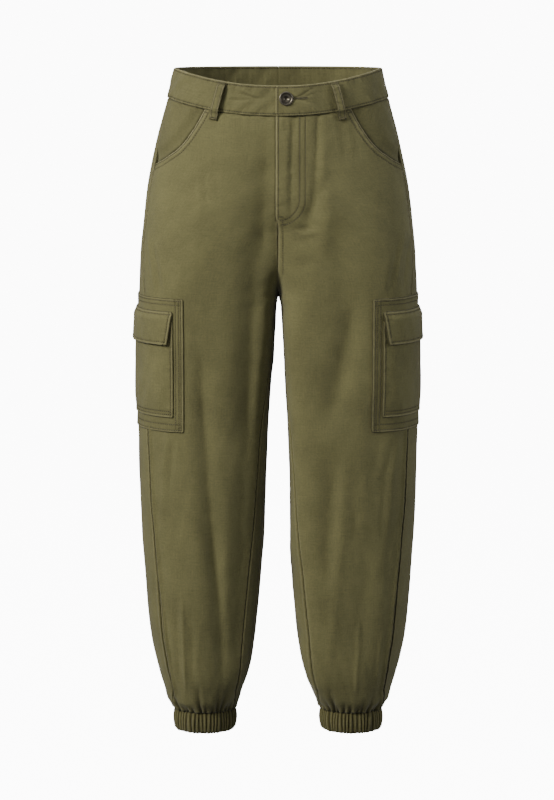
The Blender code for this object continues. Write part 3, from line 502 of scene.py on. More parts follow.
creases = [     # finer ones, in the same columns
    # right front, below the pocket mouth
    (-1, 1, 0.0045, 0.0010, 1.8, (-0.105, 0.105), (-0.185, 0.099)),
    (-1, 1, 0.0040, 0.0008, 1.8, (-0.092, 0.088), (-0.175, 0.084)),
    (-1, 1, 0.0040, 0.0009, 1.8, (-0.118, 0.117), (-0.180, 0.115)),
    (-1, 1, 0.0045, -0.0008, 1.8, (-0.110, 0.111), (-0.190, 0.107)),
    (-1, 1, 0.0060, 0.0008, 2.0, (-0.125, 0.143), (-0.215, 0.146)),
    # right front, beside the outseam above the cargo pocket
    (-1, 1, 0.0040, -0.0016, 1.6, (-0.205, 0.186), (-0.257, 0.178), (-0.305, 0.173)),
    (-1, 1, 0.0042, 0.0014, 1.8, (-0.225, 0.178), (-0.262, 0.171), (-0.303, 0.166)),
    (-1, 1, 0.0045, -0.0010, 1.8, (-0.240, 0.166), (-0.300, 0.158)),
    # right front, by the crotch
    (-1, 1, 0.0070, 0.0013, 2.0, (-0.272, 0.012), (-0.330, 0.040)),
    (-1, 1, 0.0055, 0.0010, 1.8, (-0.290, 0.008), (-0.322, 0.026)),
    # right thigh and shin
    (-1, 1, 0.0060, -0.0011, 1.8, (-0.470, 0.152), (-0.527, 0.160), (-0.640, 0.166)),
    (-1, 1, 0.0050, 0.0012, 1.8, (-0.495, 0.147), (-0.590, 0.155)),
    (-1, 1, 0.0040, -0.0018, 1.5, (-0.690, 0.179), (-0.789, 0.168), (-0.885, 0.155)),
    (-1, 1, 0.0050, 0.0016, 1.8, (-0.700, 0.171), (-0.800, 0.160), (-0.885, 0.149)),
    (-1, 1, 0.0045, -0.0021, 1.6, (-0.715, 0.137), (-0.799, 0.135), (-0.900, 0.133)),
    (-1, 1, 0.0075, 0.0014, 2.0, (-0.730, 0.146), (-0.880, 0.143)),
    (-1, 1, 0.0080, 0.0016, 2.0, (-0.735, 0.124), (-0.890, 0.122)),
    (-1, 1, 0.0100, 0.0018, 2.0, (-0.500, 0.047), (-0.720, 0.050)),
    (-1, 1, 0.0080, -0.0014, 2.0, (-0.560, 0.072), (-0.800, 0.076)),
    (-1, 1, 0.0120, -0.0012, 2.0, (-0.330, 0.110), (-0.520, 0.118)),
    # left front, from the waist seam beside the fly
    (1, 1, 0.0030, 0.0026, 1.6, (0.020, 0.0560), (-0.076, 0.0550), (-0.130, 0.0525), (-0.190, 0.0475)),
    (1, 1, 0.0056, -0.0024, 1.7, (-0.050, 0.0645), (-0.108, 0.063), (-0.160, 0.066)),
    (1, 1, 0.0050, 0.0015, 1.8, (-0.015, 0.084), (-0.065, 0.092), (-0.110, 0.096)),
    (1, 1, 0.0048, 0.0012, 1.8, (-0.038, 0.102), (-0.075, 0.111), (-0.105, 0.115)),
    (1, 1, 0.0027, 0.0023, 1.6, (0.020, 0.0190), (-0.090, 0.0190), (-0.200, 0.0175)),
    (1, 1, 0.0028, 0.0012, 1.7, (-0.008, 0.0245), (-0.062, 0.0225)),
    (1, 1, 0.0030, 0.0010, 1.7, (-0.008, 0.0110), (-0.056, 0.0105)),
    (1, 1, 0.0030, -0.0008, 1.7, (-0.030, 0.0140), (-0.150, 0.0135)),
    (1, 1, 0.0060, 0.0018, 1.8, (-0.216, 0.024), (-0.200, 0.044), (-0.165, 0.054)),
    (1, 1, 0.0042, 0.0013, 1.7, (-0.204, 0.018), (-0.199, 0.050)),
    (1, 1, 0.0046, 0.0012, 1.8, (-0.224, 0.022), (-0.212, 0.058)),
    (1, 1, 0.0060, -0.0010, 1.8, (-0.214, 0.030), (-0.203, 0.066)),
    (1, 1, 0.0070, 0.0010, 2.0, (-0.262, 0.014), (-0.245, 0.060)),
    # left front, beside the outseam above the cargo pocket
    (1, 1, 0.0040, -0.0018, 1.6, (-0.200, 0.181), (-0.252, 0.171), (-0.303, 0.162)),
    (1, 1, 0.0042, 0.0015, 1.8, (-0.215, 0.173), (-0.255, 0.164), (-0.303, 0.155)),
    (1, 1, 0.0042, 0.0012, 1.8, (-0.215, 0.187), (-0.300, 0.176)),
    (1, 1, 0.0050, -0.0010, 1.8, (-0.235, 0.158), (-0.302, 0.148)),
    # left thigh and shin
    (1, 1, 0.0160, 0.0015, 2.0, (-0.303, 0.104), (-0.446, 0.082)),
    (1, 1, 0.0060, -0.0013, 1.8, (-0.490, 0.174), (-0.557, 0.163), (-0.680, 0.154)),
    (1, 1, 0.0065, 0.0012, 1.8, (-0.500, 0.164), (-0.560, 0.153), (-0.660, 0.146)),
    (1, 1, 0.0100, -0.0021, 2.0, (-0.500, 0.097), (-0.650, 0.089), (-0.770, 0.081), (-0.870, 0.070)),
    (1, 1, 0.0090, 0.0013, 2.0, (-0.520, 0.113), (-0.700, 0.108)),
    (1, 1, 0.0050, -0.0015, 1.7, (-0.760, 0.118), (-0.895, 0.112)),
    (1, 1, 0.0050, -0.0013, 1.7, (-0.780, 0.150), (-0.895, 0.141)),
    (1, 1, 0.0080, 0.0012, 2.0, (-0.600, 0.160), (-0.760, 0.158)),
    # seat and backs of the knees, right then left
    (-1, -1, 0.0080, 0.0022, 1.8, (-0.292, 0.024), (-0.326, 0.066), (-0.342, 0.118)),
    (-1, -1, 0.0070, 0.0018, 1.8, (-0.322, 0.016), (-0.356, 0.054), (-0.376, 0.096)),
    (-1, -1, 0.0060, 0.0012, 1.8, (-0.352, 0.020), (-0.388, 0.050)),
    (-1, -1, 0.0080, 0.0018, 1.9, (-0.548, 0.052), (-0.566, 0.090), (-0.560, 0.136)),
    (-1, -1, 0.0070, 0.0015, 1.9, (-0.590, 0.044), (-0.604, 0.080), (-0.622, 0.118)),
    (-1, -1, 0.0050, -0.0016, 1.7, (-0.700, 0.148), (-0.895, 0.136)),
    (-1, -1, 0.0050, -0.0013, 1.7, (-0.740, 0.074), (-0.895, 0.084)),
    (-1, -1, 0.0060, 0.0009, 1.8, (-0.010, 0.030), (-0.085, 0.034)),
    (-1, -1, 0.0050, 0.0008, 1.8, (-0.010, 0.112), (-0.075, 0.122)),
    (1, -1, 0.0080, 0.0021, 1.8, (-0.296, 0.020), (-0.322, 0.060), (-0.346, 0.108)),
    (1, -1, 0.0070, 0.0017, 1.8, (-0.318, 0.014), (-0.350, 0.050), (-0.366, 0.088)),
    (1, -1, 0.0060, 0.0013, 1.8, (-0.360, 0.022), (-0.402, 0.056)),
    (1, -1, 0.0080, 0.0018, 1.9, (-0.540, 0.046), (-0.560, 0.084), (-0.548, 0.128)),
    (1, -1, 0.0070, 0.0016, 1.9, (-0.584, 0.052), (-0.610, 0.090), (-0.616, 0.124)),
    (1, -1, 0.0050, -0.0015, 1.7, (-0.715, 0.144), (-0.895, 0.132)),
    (1, -1, 0.0050, -0.0014, 1.7, (-0.725, 0.080), (-0.895, 0.088)),
    (1, -1, 0.0060, 0.0010, 1.8, (-0.010, 0.036), (-0.080, 0.042)),
    (1, -1, 0.0050, 0.0008, 1.8, (-0.010, 0.104), (-0.070, 0.116)),
]


def finePlaces(places, step=0.03):
    fine = [places[0]]
    for (h, c), (k, d) in zip(places, places[1:]):
        count = max(1, round(abs(k - h) / step))
        fine += [(h + (k - h) * i / count, c + (d - c) * i / count) for i in range(1, count + 1)]
    return fine


def foldPush(side, height, angle):      # how far folds and creases move points of the cloth
    height, angle = np.broadcast_arrays(np.asarray(height, float), np.asarray(angle, float))
    push = np.zeros(height.shape)
    for own, face, halfWidth, depth, sharpness, *places in folds + creases:
        places = finePlaces(places)
        heights = [place[0] for place in places]
        reach = 3 * halfWidth
        near = (height < max(heights) + reach) & (height > min(heights) - reach)
        if own != side or not near.any():
            continue
        turns = [face * float(angleFromCentre(h, c)) for h, c in places]
        steps = list(zip(turns, turns[1:], heights, heights[1:]))
        total = sum(math.hypot((b - a) * foldRadius, k - h) for a, b, h, k in steps)
        nearest = np.full(near.sum(), np.inf)
        share = np.zeros(near.sum())
        passed = 0.0
        for a, b, h, k in steps:
            across = ((angle[near] - a + math.pi) % (2 * math.pi) - math.pi) * foldRadius
            down = height[near] - h
            alongX = (b - a) * foldRadius
            alongZ = k - h
            length = math.hypot(alongX, alongZ)
            t = np.clip((across * alongX + down * alongZ) / length ** 2, 0, 1)
            away = np.hypot(across - alongX * t, down - alongZ * t)
            share = np.where(away < nearest, (passed + length * t) / total, share)
            nearest = np.minimum(nearest, away)
            passed += length
        rounded = ease(np.minimum(share, 1 - share) / foldEnds)
        push[near] -= depth * bell(nearest, halfWidth, sharpness) * rounded
    return push


gatherSizes = {
    "count": 35,               # round one leg
    "stray": 0.28,             # how far one lies from its even place, in gaps
    "radius": 0.044,
    "low": (0.012, 0.028),     # how far up the leg most of them run
    "tall": (0.036, 0.072),    # and a few of them
    "tallShare": 0.28,
    "lean": 1.1,
    "depth": (0.0038, 0.0070),
    "fade": 1.4,               # how soon one grows shallow
    "halfWidth": 0.0019,
    "widening": 1.6,
    "sharpness": 1.5,
    "swell": 0.0046,           # the cloth between them swells out by this much
    "swellHeight": 0.034,
}
anyPhase = (0, 6.3)            # a random start of a wave, in radians


def drawGathers(side):
    sizes = gatherSizes
    rng = np.random.default_rng(40 + side)
    count = sizes["count"]
    turns = 2 * math.pi * (np.arange(count) + rng.uniform(-sizes["stray"], sizes["stray"], count)) / count
    isTall = rng.random(count) < sizes["tallShare"]
    tall = np.where(isTall, rng.uniform(*sizes["tall"], count), rng.uniform(*sizes["low"], count))
    depth = rng.uniform(*sizes["depth"], count)
    return np.stack([turns, tall, depth, rng.normal(0, sizes["lean"], count)], 1)


gathers = {side: drawGathers(side) for side in (-1, 1)}


def gatherPush(side, height, angle):    # narrow valleys that run up the leg from the cuff seam
    sizes = gatherSizes
    up = height - form["legEnd"]
    swell = sizes["swell"] * (1 - ease(up / sizes["swellHeight"]))
    push = swell.copy()
    near = up < sizes["tall"][1]
    for middle, tall, depth, lean in gathers[side]:
        rise = np.clip(up[near] / tall, 0, 1)
        turn = (angle[near] - middle - lean * rise * tall + math.pi) % (2 * math.pi) - math.pi
        wide = sizes["halfWidth"] * (1 + sizes["widening"] * rise)
        away = np.abs(turn) * sizes["radius"]
        push[near] -= depth * (1 - rise) ** sizes["fade"] * bell(away, wide, sizes["sharpness"])
    return push, swell - push


def ripple(along, seed, lengths=(0.0085, 0.0125, 0.021)):    # an uneven wave, about 1 high
    rng = np.random.default_rng(seed)
    total = 0
    for length in lengths:
        total = total + np.sin(2 * math.pi * along / length + rng.uniform(*anyPhase))
    return total / len(lengths) ** 0.5


def unevenness(across, along, seed, sizes, stretch):        # nine slanting waves, which never line up
    rng = np.random.default_rng(seed)
    total = np.zeros(np.broadcast(across, along).shape)
    for _ in range(9):
        width = rng.uniform(*sizes)
        length = width * stretch * rng.uniform(0.7, 1.6) * rng.choice((-1, 1))
        total += np.sin(2 * math.pi * (across / width + along / length) + rng.uniform(*anyPhase))
    return total / 3


waverSizes = [      # height, seed, widths of its waves, how much longer than wide
    (0.00014, 5, (0.016, 0.030), 3.2),
    (0.00030, 15, (0.040, 0.080), 3.0),
]


def bodyRelief(side, height, angle, inner=0.0):     # folds, creases and the slight waver of hanging cloth
    waver = sum(size * unevenness(angle * foldRadius, height, seed + side, widths, stretch)
                for size, seed, widths, stretch in waverSizes)
    return foldPush(side, height, angle) + waver * (1 - inner)


# meshes of cloth: an outer sheet, an inner one and the rims between them

sheets = {}             # finished outer sheets, for what is sewn on them


def thinned(count, inset, skip):    # rows that the inner sheet follows, and where its rims are cut
    rows = list(range(inset, count - inset, skip))
    if rows[-1] != count - 1 - inset:
        rows.append(count - 1 - inset)
    return np.array(rows), np.array([0] + rows[1:-1] + [count - 1])


def gridFaces(rows, columns, first, ring=False):
    index = first + np.arange(rows * columns).reshape(rows, columns)
    if ring:
        index = np.concatenate([index, index[:, :1]], 1)
    return np.stack([index[:-1, :-1], index[:-1, 1:], index[1:, 1:], index[1:, :-1]], -1).reshape(-1, 4)


def addPiece(name, points, faces, uv, marks, material):
    mesh = bpy.data.meshes.new(name)
    mesh.from_pydata(points, [], faces)
    if uv is not None:
        corners = np.zeros(len(mesh.loops), int)
        mesh.loops.foreach_get("vertex_index", corners)
        mesh.uv_layers.new(name="cut").data.foreach_set("uv", np.asarray(uv)[corners].ravel())
    for mark, values in marks.items():
        mesh.attributes.new(mark, "FLOAT", "POINT").data.foreach_set("value", np.asarray(values, float))
    mesh.shade_smooth()
    mesh.materials.append(material)
    piece = bpy.data.objects.new(name, mesh)
    bpy.context.scene.collection.objects.link(piece)
    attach(piece, "root")
    return piece


def makeWall(node, outer, inner, uv, wornAndLit, shade, material, skip=4, inset=(3, 5),
             ring=False):       # a piece of cloth that stands for a node
    rows, columns = outer.shape[:2]
    innerRows, rowCuts = thinned(rows, inset[0], skip)
    if ring:
        innerColumns = np.arange(0, columns, skip)
        columnCuts = np.append(innerColumns, columns)
    else:
        innerColumns, columnCuts = thinned(columns, inset[1], skip)
    picked = np.ix_(innerRows, innerColumns)
    first = rows * columns
    outerFaces = gridFaces(rows, columns, 0, ring)
    innerFaces = gridFaces(len(innerRows), len(innerColumns), first, ring)[:, ::-1]
    innerIndex = first + np.arange(innerRows.size * innerColumns.size).reshape(innerRows.size, -1)
    outerIndex = np.arange(first).reshape(rows, columns)
    if ring:
        outerIndex = np.concatenate([outerIndex, outerIndex[:, :1]], 1)
        innerIndex = np.concatenate([innerIndex, innerIndex[:, :1]], 1)
    edges = [(outerIndex[0], columnCuts, innerIndex[0], True),
             (outerIndex[-1], columnCuts, innerIndex[-1], False)]
    if not ring:
        edges += [(outerIndex[:, 0], rowCuts, innerIndex[:, 0], False),
                  (outerIndex[:, -1], rowCuts, innerIndex[:, -1], True)]
    rims = []
    for outerLine, cuts, innerLine, turned in edges:
        for i in range(len(cuts) - 1):
            face = outerLine[cuts[i]:cuts[i + 1] + 1].tolist() + [int(innerLine[i + 1]), int(innerLine[i])]
            rims.append(face[::-1] if turned else face)
    points = np.concatenate([outer.reshape(-1, 3), inner[picked].reshape(-1, 3)])
    allUv = np.concatenate([uv.reshape(-1, 2), uv[picked].reshape(-1, 2)])
    marks = {}
    for mark, values in (("wornAndLit", wornAndLit), ("shade", np.clip(shade, 0, 1))):
        values = np.broadcast_to(values, (rows, columns))
        marks[mark] = np.concatenate([values.ravel(), values[picked].ravel() * 0.3])    # fainter inside
    faces = outerFaces.tolist() + innerFaces.tolist() + rims
    piece = addPiece(node + "_cloth", points.tolist(), faces, allUv, marks, material)
    corner = points[outerFaces]
    facing = np.cross(corner[:, 2] - corner[:, 0], corner[:, 3] - corner[:, 1])
    away = (outer - inner).reshape(-1, 3)[outerFaces[:, 0]]
    if (facing * away).sum() < 0:
        piece.data.flip_normals()
    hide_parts(node)


def keepSheet(name, side, heights, angles, points, facing=1):
    sheets[name] = (side, np.asarray(heights), angles, points, facing)


def onSheet(name, height, angle):       # points of a finished sheet, and their outward directions
    side, heights, angles, points, facing = sheets[name]
    i = np.clip(np.searchsorted(-heights, -height, side="right") - 1, 0, len(heights) - 2)
    t = np.clip((heights[i] - height) / np.maximum(heights[i] - heights[i + 1], 1e-9), 0, 1)[:, None]
    row = angles[i] * (1 - t) + angles[i + 1] * t
    order = 1 if row[0, -1] > row[0, 0] else -1
    j = np.clip((order * row <= order * angle[:, None]).sum(1) - 1, 0, row.shape[1] - 2)
    n = np.arange(len(j))
    step = row[n, j + 1] - row[n, j]
    s = np.clip((angle - row[n, j]) / np.where(np.abs(step) < 1e-9, 1e-9, step), 0, 1)[:, None]
    top = points[i, j] * (1 - s) + points[i, j + 1] * s
    low = points[i + 1, j] * (1 - s) + points[i + 1, j + 1] * s
    normal = np.cross(points[i, j + 1] - points[i, j], low - top)
    outward = formAt(side, height, angle)[1]
    normal *= facing * np.sign((normal * outward).sum(1))[:, None]
    return top * (1 - t) + low * t, normal / np.maximum(np.linalg.norm(normal, axis=1), 1e-12)[:, None]


def arcTable(height, start, end, steps=160):    # angles, and distances over the form, along each row
    share = np.linspace(0, 1, steps + 1)
    angle = start[:, None] + (end - start)[:, None] * share
    point, _ = formAt(1, height[:, None], angle)
    gap = np.hypot(np.diff(point[..., 0]), np.diff(point[..., 1]))
    return angle, np.concatenate([np.zeros((len(height), 1)), np.cumsum(gap, 1)], 1)


def anglesAt(table, distances):
    return np.array([np.interp(d, have, turn) for turn, have, d in zip(*table, distances)])


def distancesAt(table, angles):
    order = 1 if table[0][0, -1] > table[0][0, 0] else -1
    return np.array([np.interp(order * a, order * turn, have) for turn, have, a in zip(*table, angles)])


def rowHeights(top, bottom, spacing):       # spacing gives the gap between rows at some heights
    steps = 4000
    fine = np.linspace(top, bottom, steps + 1)
    ordered = sorted(spacing)
    gap = np.interp(fine, [h for h, _ in ordered], [g for _, g in ordered])
    count = np.append(0, np.cumsum((top - bottom) / steps / gap[:-1]))
    return np.interp(np.linspace(0, count[-1], round(count[-1]) + 1), count, fine)


def edgeSpread(length, near, step):     # places along a length, closer together at both ends
    near = np.array(near)
    count = max(2, round((length - 2 * near[-1]) / step))
    middle = np.linspace(near[-1], length - near[-1], count + 1)[1:-1]
    return np.concatenate([near, middle, length - near[::-1]])


def rolledEdge(away, drop, width):      # a quarter round along an edge
    t = np.clip(1 - away / width, 0, 1)
    return -drop * (1 - np.sqrt(1 - t * t))


def cornerInset(fromRow, corner):       # how far a rounded corner draws in the ends of each row
    return -rolledEdge(fromRow, corner, corner)[:, None]


grooveWidth = 0.0008        # of the channel that a row of stitches pulls in


def grooves(away, rows, width=grooveWidth):     # where rows of stitches pull the cloth in
    return sum(bell(away - row, width) for row in rows)


def smoothLine(places, step=0.0005):        # a rounded line through a few places, evenly stepped
    places = np.array([places[0], *places, places[-1]], float)
    line = []
    for a, b, c, d in zip(places, places[1:], places[2:], places[3:]):
        t = np.linspace(0, 1, 40, endpoint=False)[:, None]
        line.append(0.5 * (2 * b + (c - a) * t + (2 * a - 5 * b + 4 * c - d) * t ** 2
                           + (3 * b - a - 3 * c + d) * t ** 3))
    line = np.concatenate([*line, places[-1:]])
    length = np.append(0, np.cumsum(np.linalg.norm(np.diff(line, axis=0), axis=1)))
    even = np.linspace(0, length[-1], max(3, round(length[-1] / step)) + 1)
    return np.stack([np.interp(even, length, line[:, k]) for k in (0, 1)], 1)


def shiftLine(side, heights, angles, distance):     # a line beside another one, over the form
    point, normal = formAt(side, heights, angles)
    along = np.gradient(point, axis=0)
    along /= np.linalg.norm(along, axis=1)[:, None]
    beside = np.cross(normal, along) * distance
    turn = (formAt(side, heights, angles + 1e-4)[0] - point) / 1e-4
    drop = (formAt(side, heights + 1e-4, angles)[0] - point) / 1e-4
    moves = np.array([np.linalg.lstsq(np.stack([d, t], 1), b, rcond=None)[0]
                      for d, t, b in zip(drop, turn, beside)])
    return heights + moves[:, 0], angles + moves[:, 1]


def lineAway(side, heights, angles, lines, reach=0.004):       # distance of a sheet's points from lines
    points, _ = formAt(side, heights, angles)
    flat = points.reshape(-1, 3)
    found = np.full(len(flat), 1.0)
    chunk = 3000        # points at a time, to spare memory
    for lineHeights, lineAngles in lines:
        path, _ = formAt(side, lineHeights, lineAngles)
        near = np.flatnonzero(np.all((flat > path.min(0) - reach) & (flat < path.max(0) + reach), 1))
        for start in range(0, len(near), chunk):
            part = near[start:start + chunk]
            gap = np.linalg.norm(flat[part][:, None] - path[None], axis=2).min(1)
            found[part] = np.minimum(found[part], gap)
    return found.reshape(points.shape[:-1])


# front and back panels

panelSizes = {
    "nearEdge": (0, 0.0003, 0.0008, 0.0014, 0.0021, 0.003, 0.004, 0.005, 0.006, 0.007, 0.008,
                 0.009, 0.010, 0.0115, 0.0135),     # columns beside a seam
    "frontColumns": 84,
    "backColumns": 132,
    "flyColumns": 26,          # of them this near to the fly's edge, down to a height, and its fade
    "flyDense": (0.0315, -0.262, 0.05),
    "rows": [(-0.024, 0.0026), (-0.12, 0.0028), (-0.146, 0.0016), (-0.205, 0.0016), (-0.22, 0.0034),
             (-0.280, 0.0030), (-0.2955, 0.0011), (-0.310, 0.0013), (-0.33, 0.0036), (-0.82, 0.0040),
             (-0.86, 0.0026), (-0.915, 0.0016)],
    "roll": (0.0015, 0.0021),
    "seamTurn": 0.0048,        # depth of a seam allowance inside
    "foldTurn": 0.0016,        # depth of a folded edge that lies on other cloth
    "rowTurn": 0.0022,
    "halfTurned": 0.4,
    "mouthFade": 0.008,        # over this height a folded edge gives way to a seam allowance
    "flyFade": 0.01,
    "edgeFade": 0.004,
    "waistRadius": 0.15,       # turns an angle into a distance
    "evenSpan": (-0.050, 0.080),       # round the crotch, where the columns keep their even places
    "quiet": 0.014,            # no waver this near to the inner seam
    "pucker": 0.00030,
    "puckerWidth": 0.009,
    "waistPucker": 0.00045,
    "waistPuckerDrop": 0.011,
    "waistLengths": (0.011, 0.017, 0.029),
    "mouthWave": 0.00030,
    "mouthWaveWidth": 0.010,
    "mouthLengths": (0.009, 0.013, 0.018),
    "grooveDepth": 0.00055,
    "grooveShade": 0.62,
    "mouthGrooveShade": 0.22,  # and this much more along a pocket mouth
    "valleyDepth": 0.0060,     # a valley this deep is fully shaded
    "valleyShade": 0.75,
    "shinTop": -0.500,         # the outseam stands out below this
    "shinFade": 0.030,
    "paleOut": (-0.640, 0.060, 0.75),   # seams that face the key light hardly show: from where, fade, share
    "paleIn": (-0.330, 0.060, 0.75),
    # ridges, painted shade, and wear with painted highlight along an edge: how much, how far from it, half
    # width
    "outseamRidge": (0.0024, 0.0060, 0.0032),
    "outseamDip": (-0.0008, 0, 0.0022),
    "backRidge": (0.0011, 0.0032, 0.0020),
    "seamShade": (0.85, 0, 0.0011),
    "waistShade": (0.2, 0, 0.0010),
    "cuffShade": (0.6, 0, 0.0016),
    "outseamShade": (0.9, 0, 0.0016),
    "seamWearLight": (0.55, 0.0026, 0.0011),
    "mouthWearLight": (2.4, 0, 0.0017),
    "channelWearLight": (0.45, 0.0054, 0.0016),
    "plainEdge": 0.003,        # a folded edge has no seam to shade
    "joinHeight": 0.008,
    "joinWidth": 0.012,
    "joinGap": 0.0006,
    "frontCut": ((0.300, 0.895), "gathered", 0.175),
    "backCut": ((0.440, 0.895), "gathered", 0.323),
}
flySizes = {
    "lap": 0.006,              # the right front runs this far under the left one
    "edge": 0.0034,
    "rise": 0.0020,
    "riseStart": 0.003,
    "riseWidth": 0.022,
    "lapEnd": -0.172,
    "end": -0.192,
    "fade": 0.022,
    "reach": 0.036,            # puckered this far from its edge
    "pucker": 0.00015,
    "puckerSlant": 0.35,
    "puckerLengths": (0.0105, 0.016, 0.026),
    "wearAndLight": (1.1, 0, 0.0013),
    "shade": (0.9, 0.0032, 0.0012),     # painted shadow on the right front, from the centre
    "innerRow": [(-0.0245, 0.030), (-0.140, 0.030), (-0.160, 0.0294), (-0.172, 0.026), (-0.181, 0.020),
                 (-0.187, 0.013), (-0.190, 0.004)],
    "outerRow": [(-0.0245, 0.0378), (-0.149, 0.0378), (-0.170, 0.0358), (-0.182, 0.030), (-0.1905, 0.0215),
                 (-0.1955, 0.013), (-0.1975, 0.004)],
    "edgeRow": [(-0.0245, 0.0003), (-0.100, 0.0003), (-0.188, 0.0003)],
    "seamRow": [(-0.189, 0.0064), (-0.225, 0.0068), (-0.268, 0.0066)],
    "tacks": ((-0.184, 0.0042, 0.007), (-0.1965, 0.0075, 0.006)),      # height, from the centre, length
}


def flyShare(height, end):      # 1 beside the fly, 0 below its end
    return 1 - ease((end + flySizes["fade"] / 2 - height) / flySizes["fade"])


def flyRise(side, height, angle):       # the left front stands up where it laps over the right one
    if side < 0:
        return np.zeros(angle.shape)
    past = distanceFromCentre(height, angle) - flySizes["lap"] - flySizes["riseStart"]
    near = 1 - ease(past / (flySizes["riseWidth"] - flySizes["lap"]))
    return flySizes["rise"] * near * flyShare(height, flySizes["end"]) * (angle > 0)


def panelEdges(side, face, height):
    half = shapeAt(height)[1]
    gap = form["seamGap"] / 2 / half
    above = height > form["crotch"]
    if face < 0:
        inner = np.where(above, -centreAngle(height), inseamAngle(height) + gap - 2 * math.pi)
        return outseamAngle(height) - gap, inner
    reach = flySizes["lap"] if side < 0 else flySizes["edge"]
    lowest = flySizes["lapEnd"] if side < 0 else flySizes["end"]
    inner = np.where(above, centreAngle(height) + reach * flyShare(height, lowest) / half,
                     inseamAngle(height) - gap)
    return mouthAngle(height) + gap, inner


def evenLength(side, face, height, length):     # row length as if the inner edge ran past the crotch
    ends = form["crotch"] + np.array(panelSizes["evenSpan"])
    low, high = arcTable(ends, *panelEdges(side, face, ends))[1][:, -1]
    share = (height - ends[0]) / (ends[1] - ends[0])
    return np.where((share > 0) & (share < 1), low + (high - low) * share, length)


def panelColumns(side, face, heights, table):       # distances of a panel's columns along each row
    length = table[1][:, -1]
    even = evenLength(side, face, heights, length)
    edge = np.array(panelSizes["nearEdge"])
    count = panelSizes["frontColumns"] if face > 0 else panelSizes["backColumns"]
    share = np.arange(1, count) / count
    shares = np.tile(share, (len(heights), 1))
    if face > 0 and side > 0:       # closer together across the fly's rows of stitches
        wide, lowest, fade = panelSizes["flyDense"]
        turn = 1 - wide / (even - 2 * edge[-1])
        dense = np.array([np.interp(share, [0, 1 - panelSizes["flyColumns"] / count, 1], [0, t, 1])
                          for t in turn])
        shares += (dense - shares) * ease((heights - lowest) / fade)[:, None]
    middle = (edge[-1] + (even - 2 * edge[-1])[:, None] * shares
              + (length - even)[:, None] * shares ** 3)
    start = np.tile(edge, (len(heights), 1))
    end = length[:, None] - edge[::-1]
    turned = np.zeros((len(heights), 2))
    return np.concatenate([turned, start, middle, end, turned + length[:, None]], 1)


def besideSeam(side, face, heights, away, inner=True):      # angles at a distance from a panel's seam
    table = arcTable(heights, *panelEdges(side, face, heights))
    distance = table[1][:, -1:] - away if inner else np.full((len(heights), 1), away)
    return anglesAt(table, distance)[:, 0]


def flyLines():
    smooth = [smoothLine(flySizes[row]) for row in ("innerRow", "outerRow", "edgeRow", "seamRow")]
    return [(line[:, 0], angleFromCentre(line[:, 0], line[:, 1])) for line in smooth]


outseamRow = {"top": -0.124, "end": -0.905, "away": 0.0040, "pocketGap": (-0.301, -0.498)}
mouthRows = {"away": (0.0023, 0.0085), "start": -0.0242, "top": -0.0245, "gap": 0.004}
mouthTacks = {"under": 0.003, "fromWaist": 0.004, "inward": 0.03, "long": 0.006}      # inward is an angle


def outseamLine(side):      # a row of stitches ahead of the outseam
    heights = np.linspace(outseamRow["top"], outseamRow["end"], 900)
    return heights, besideSeam(side, 1, heights, outseamRow["away"], False)


def mouthLines(side):       # two rows along the mouth of the front pocket
    heights = np.linspace(mouthRows["start"], mouthEnd, 120)
    angles = angleFromCentre(heights, mouthFromCentre(heights))
    rows = []
    for away in mouthRows["away"]:
        height, angle = shiftLine(side, heights, angles, -side * away)
        inside = (height < mouthRows["top"]) & (angle > outseamAngle(height) + mouthRows["gap"])
        rows.append((height[inside], angle[inside]))
    return rows


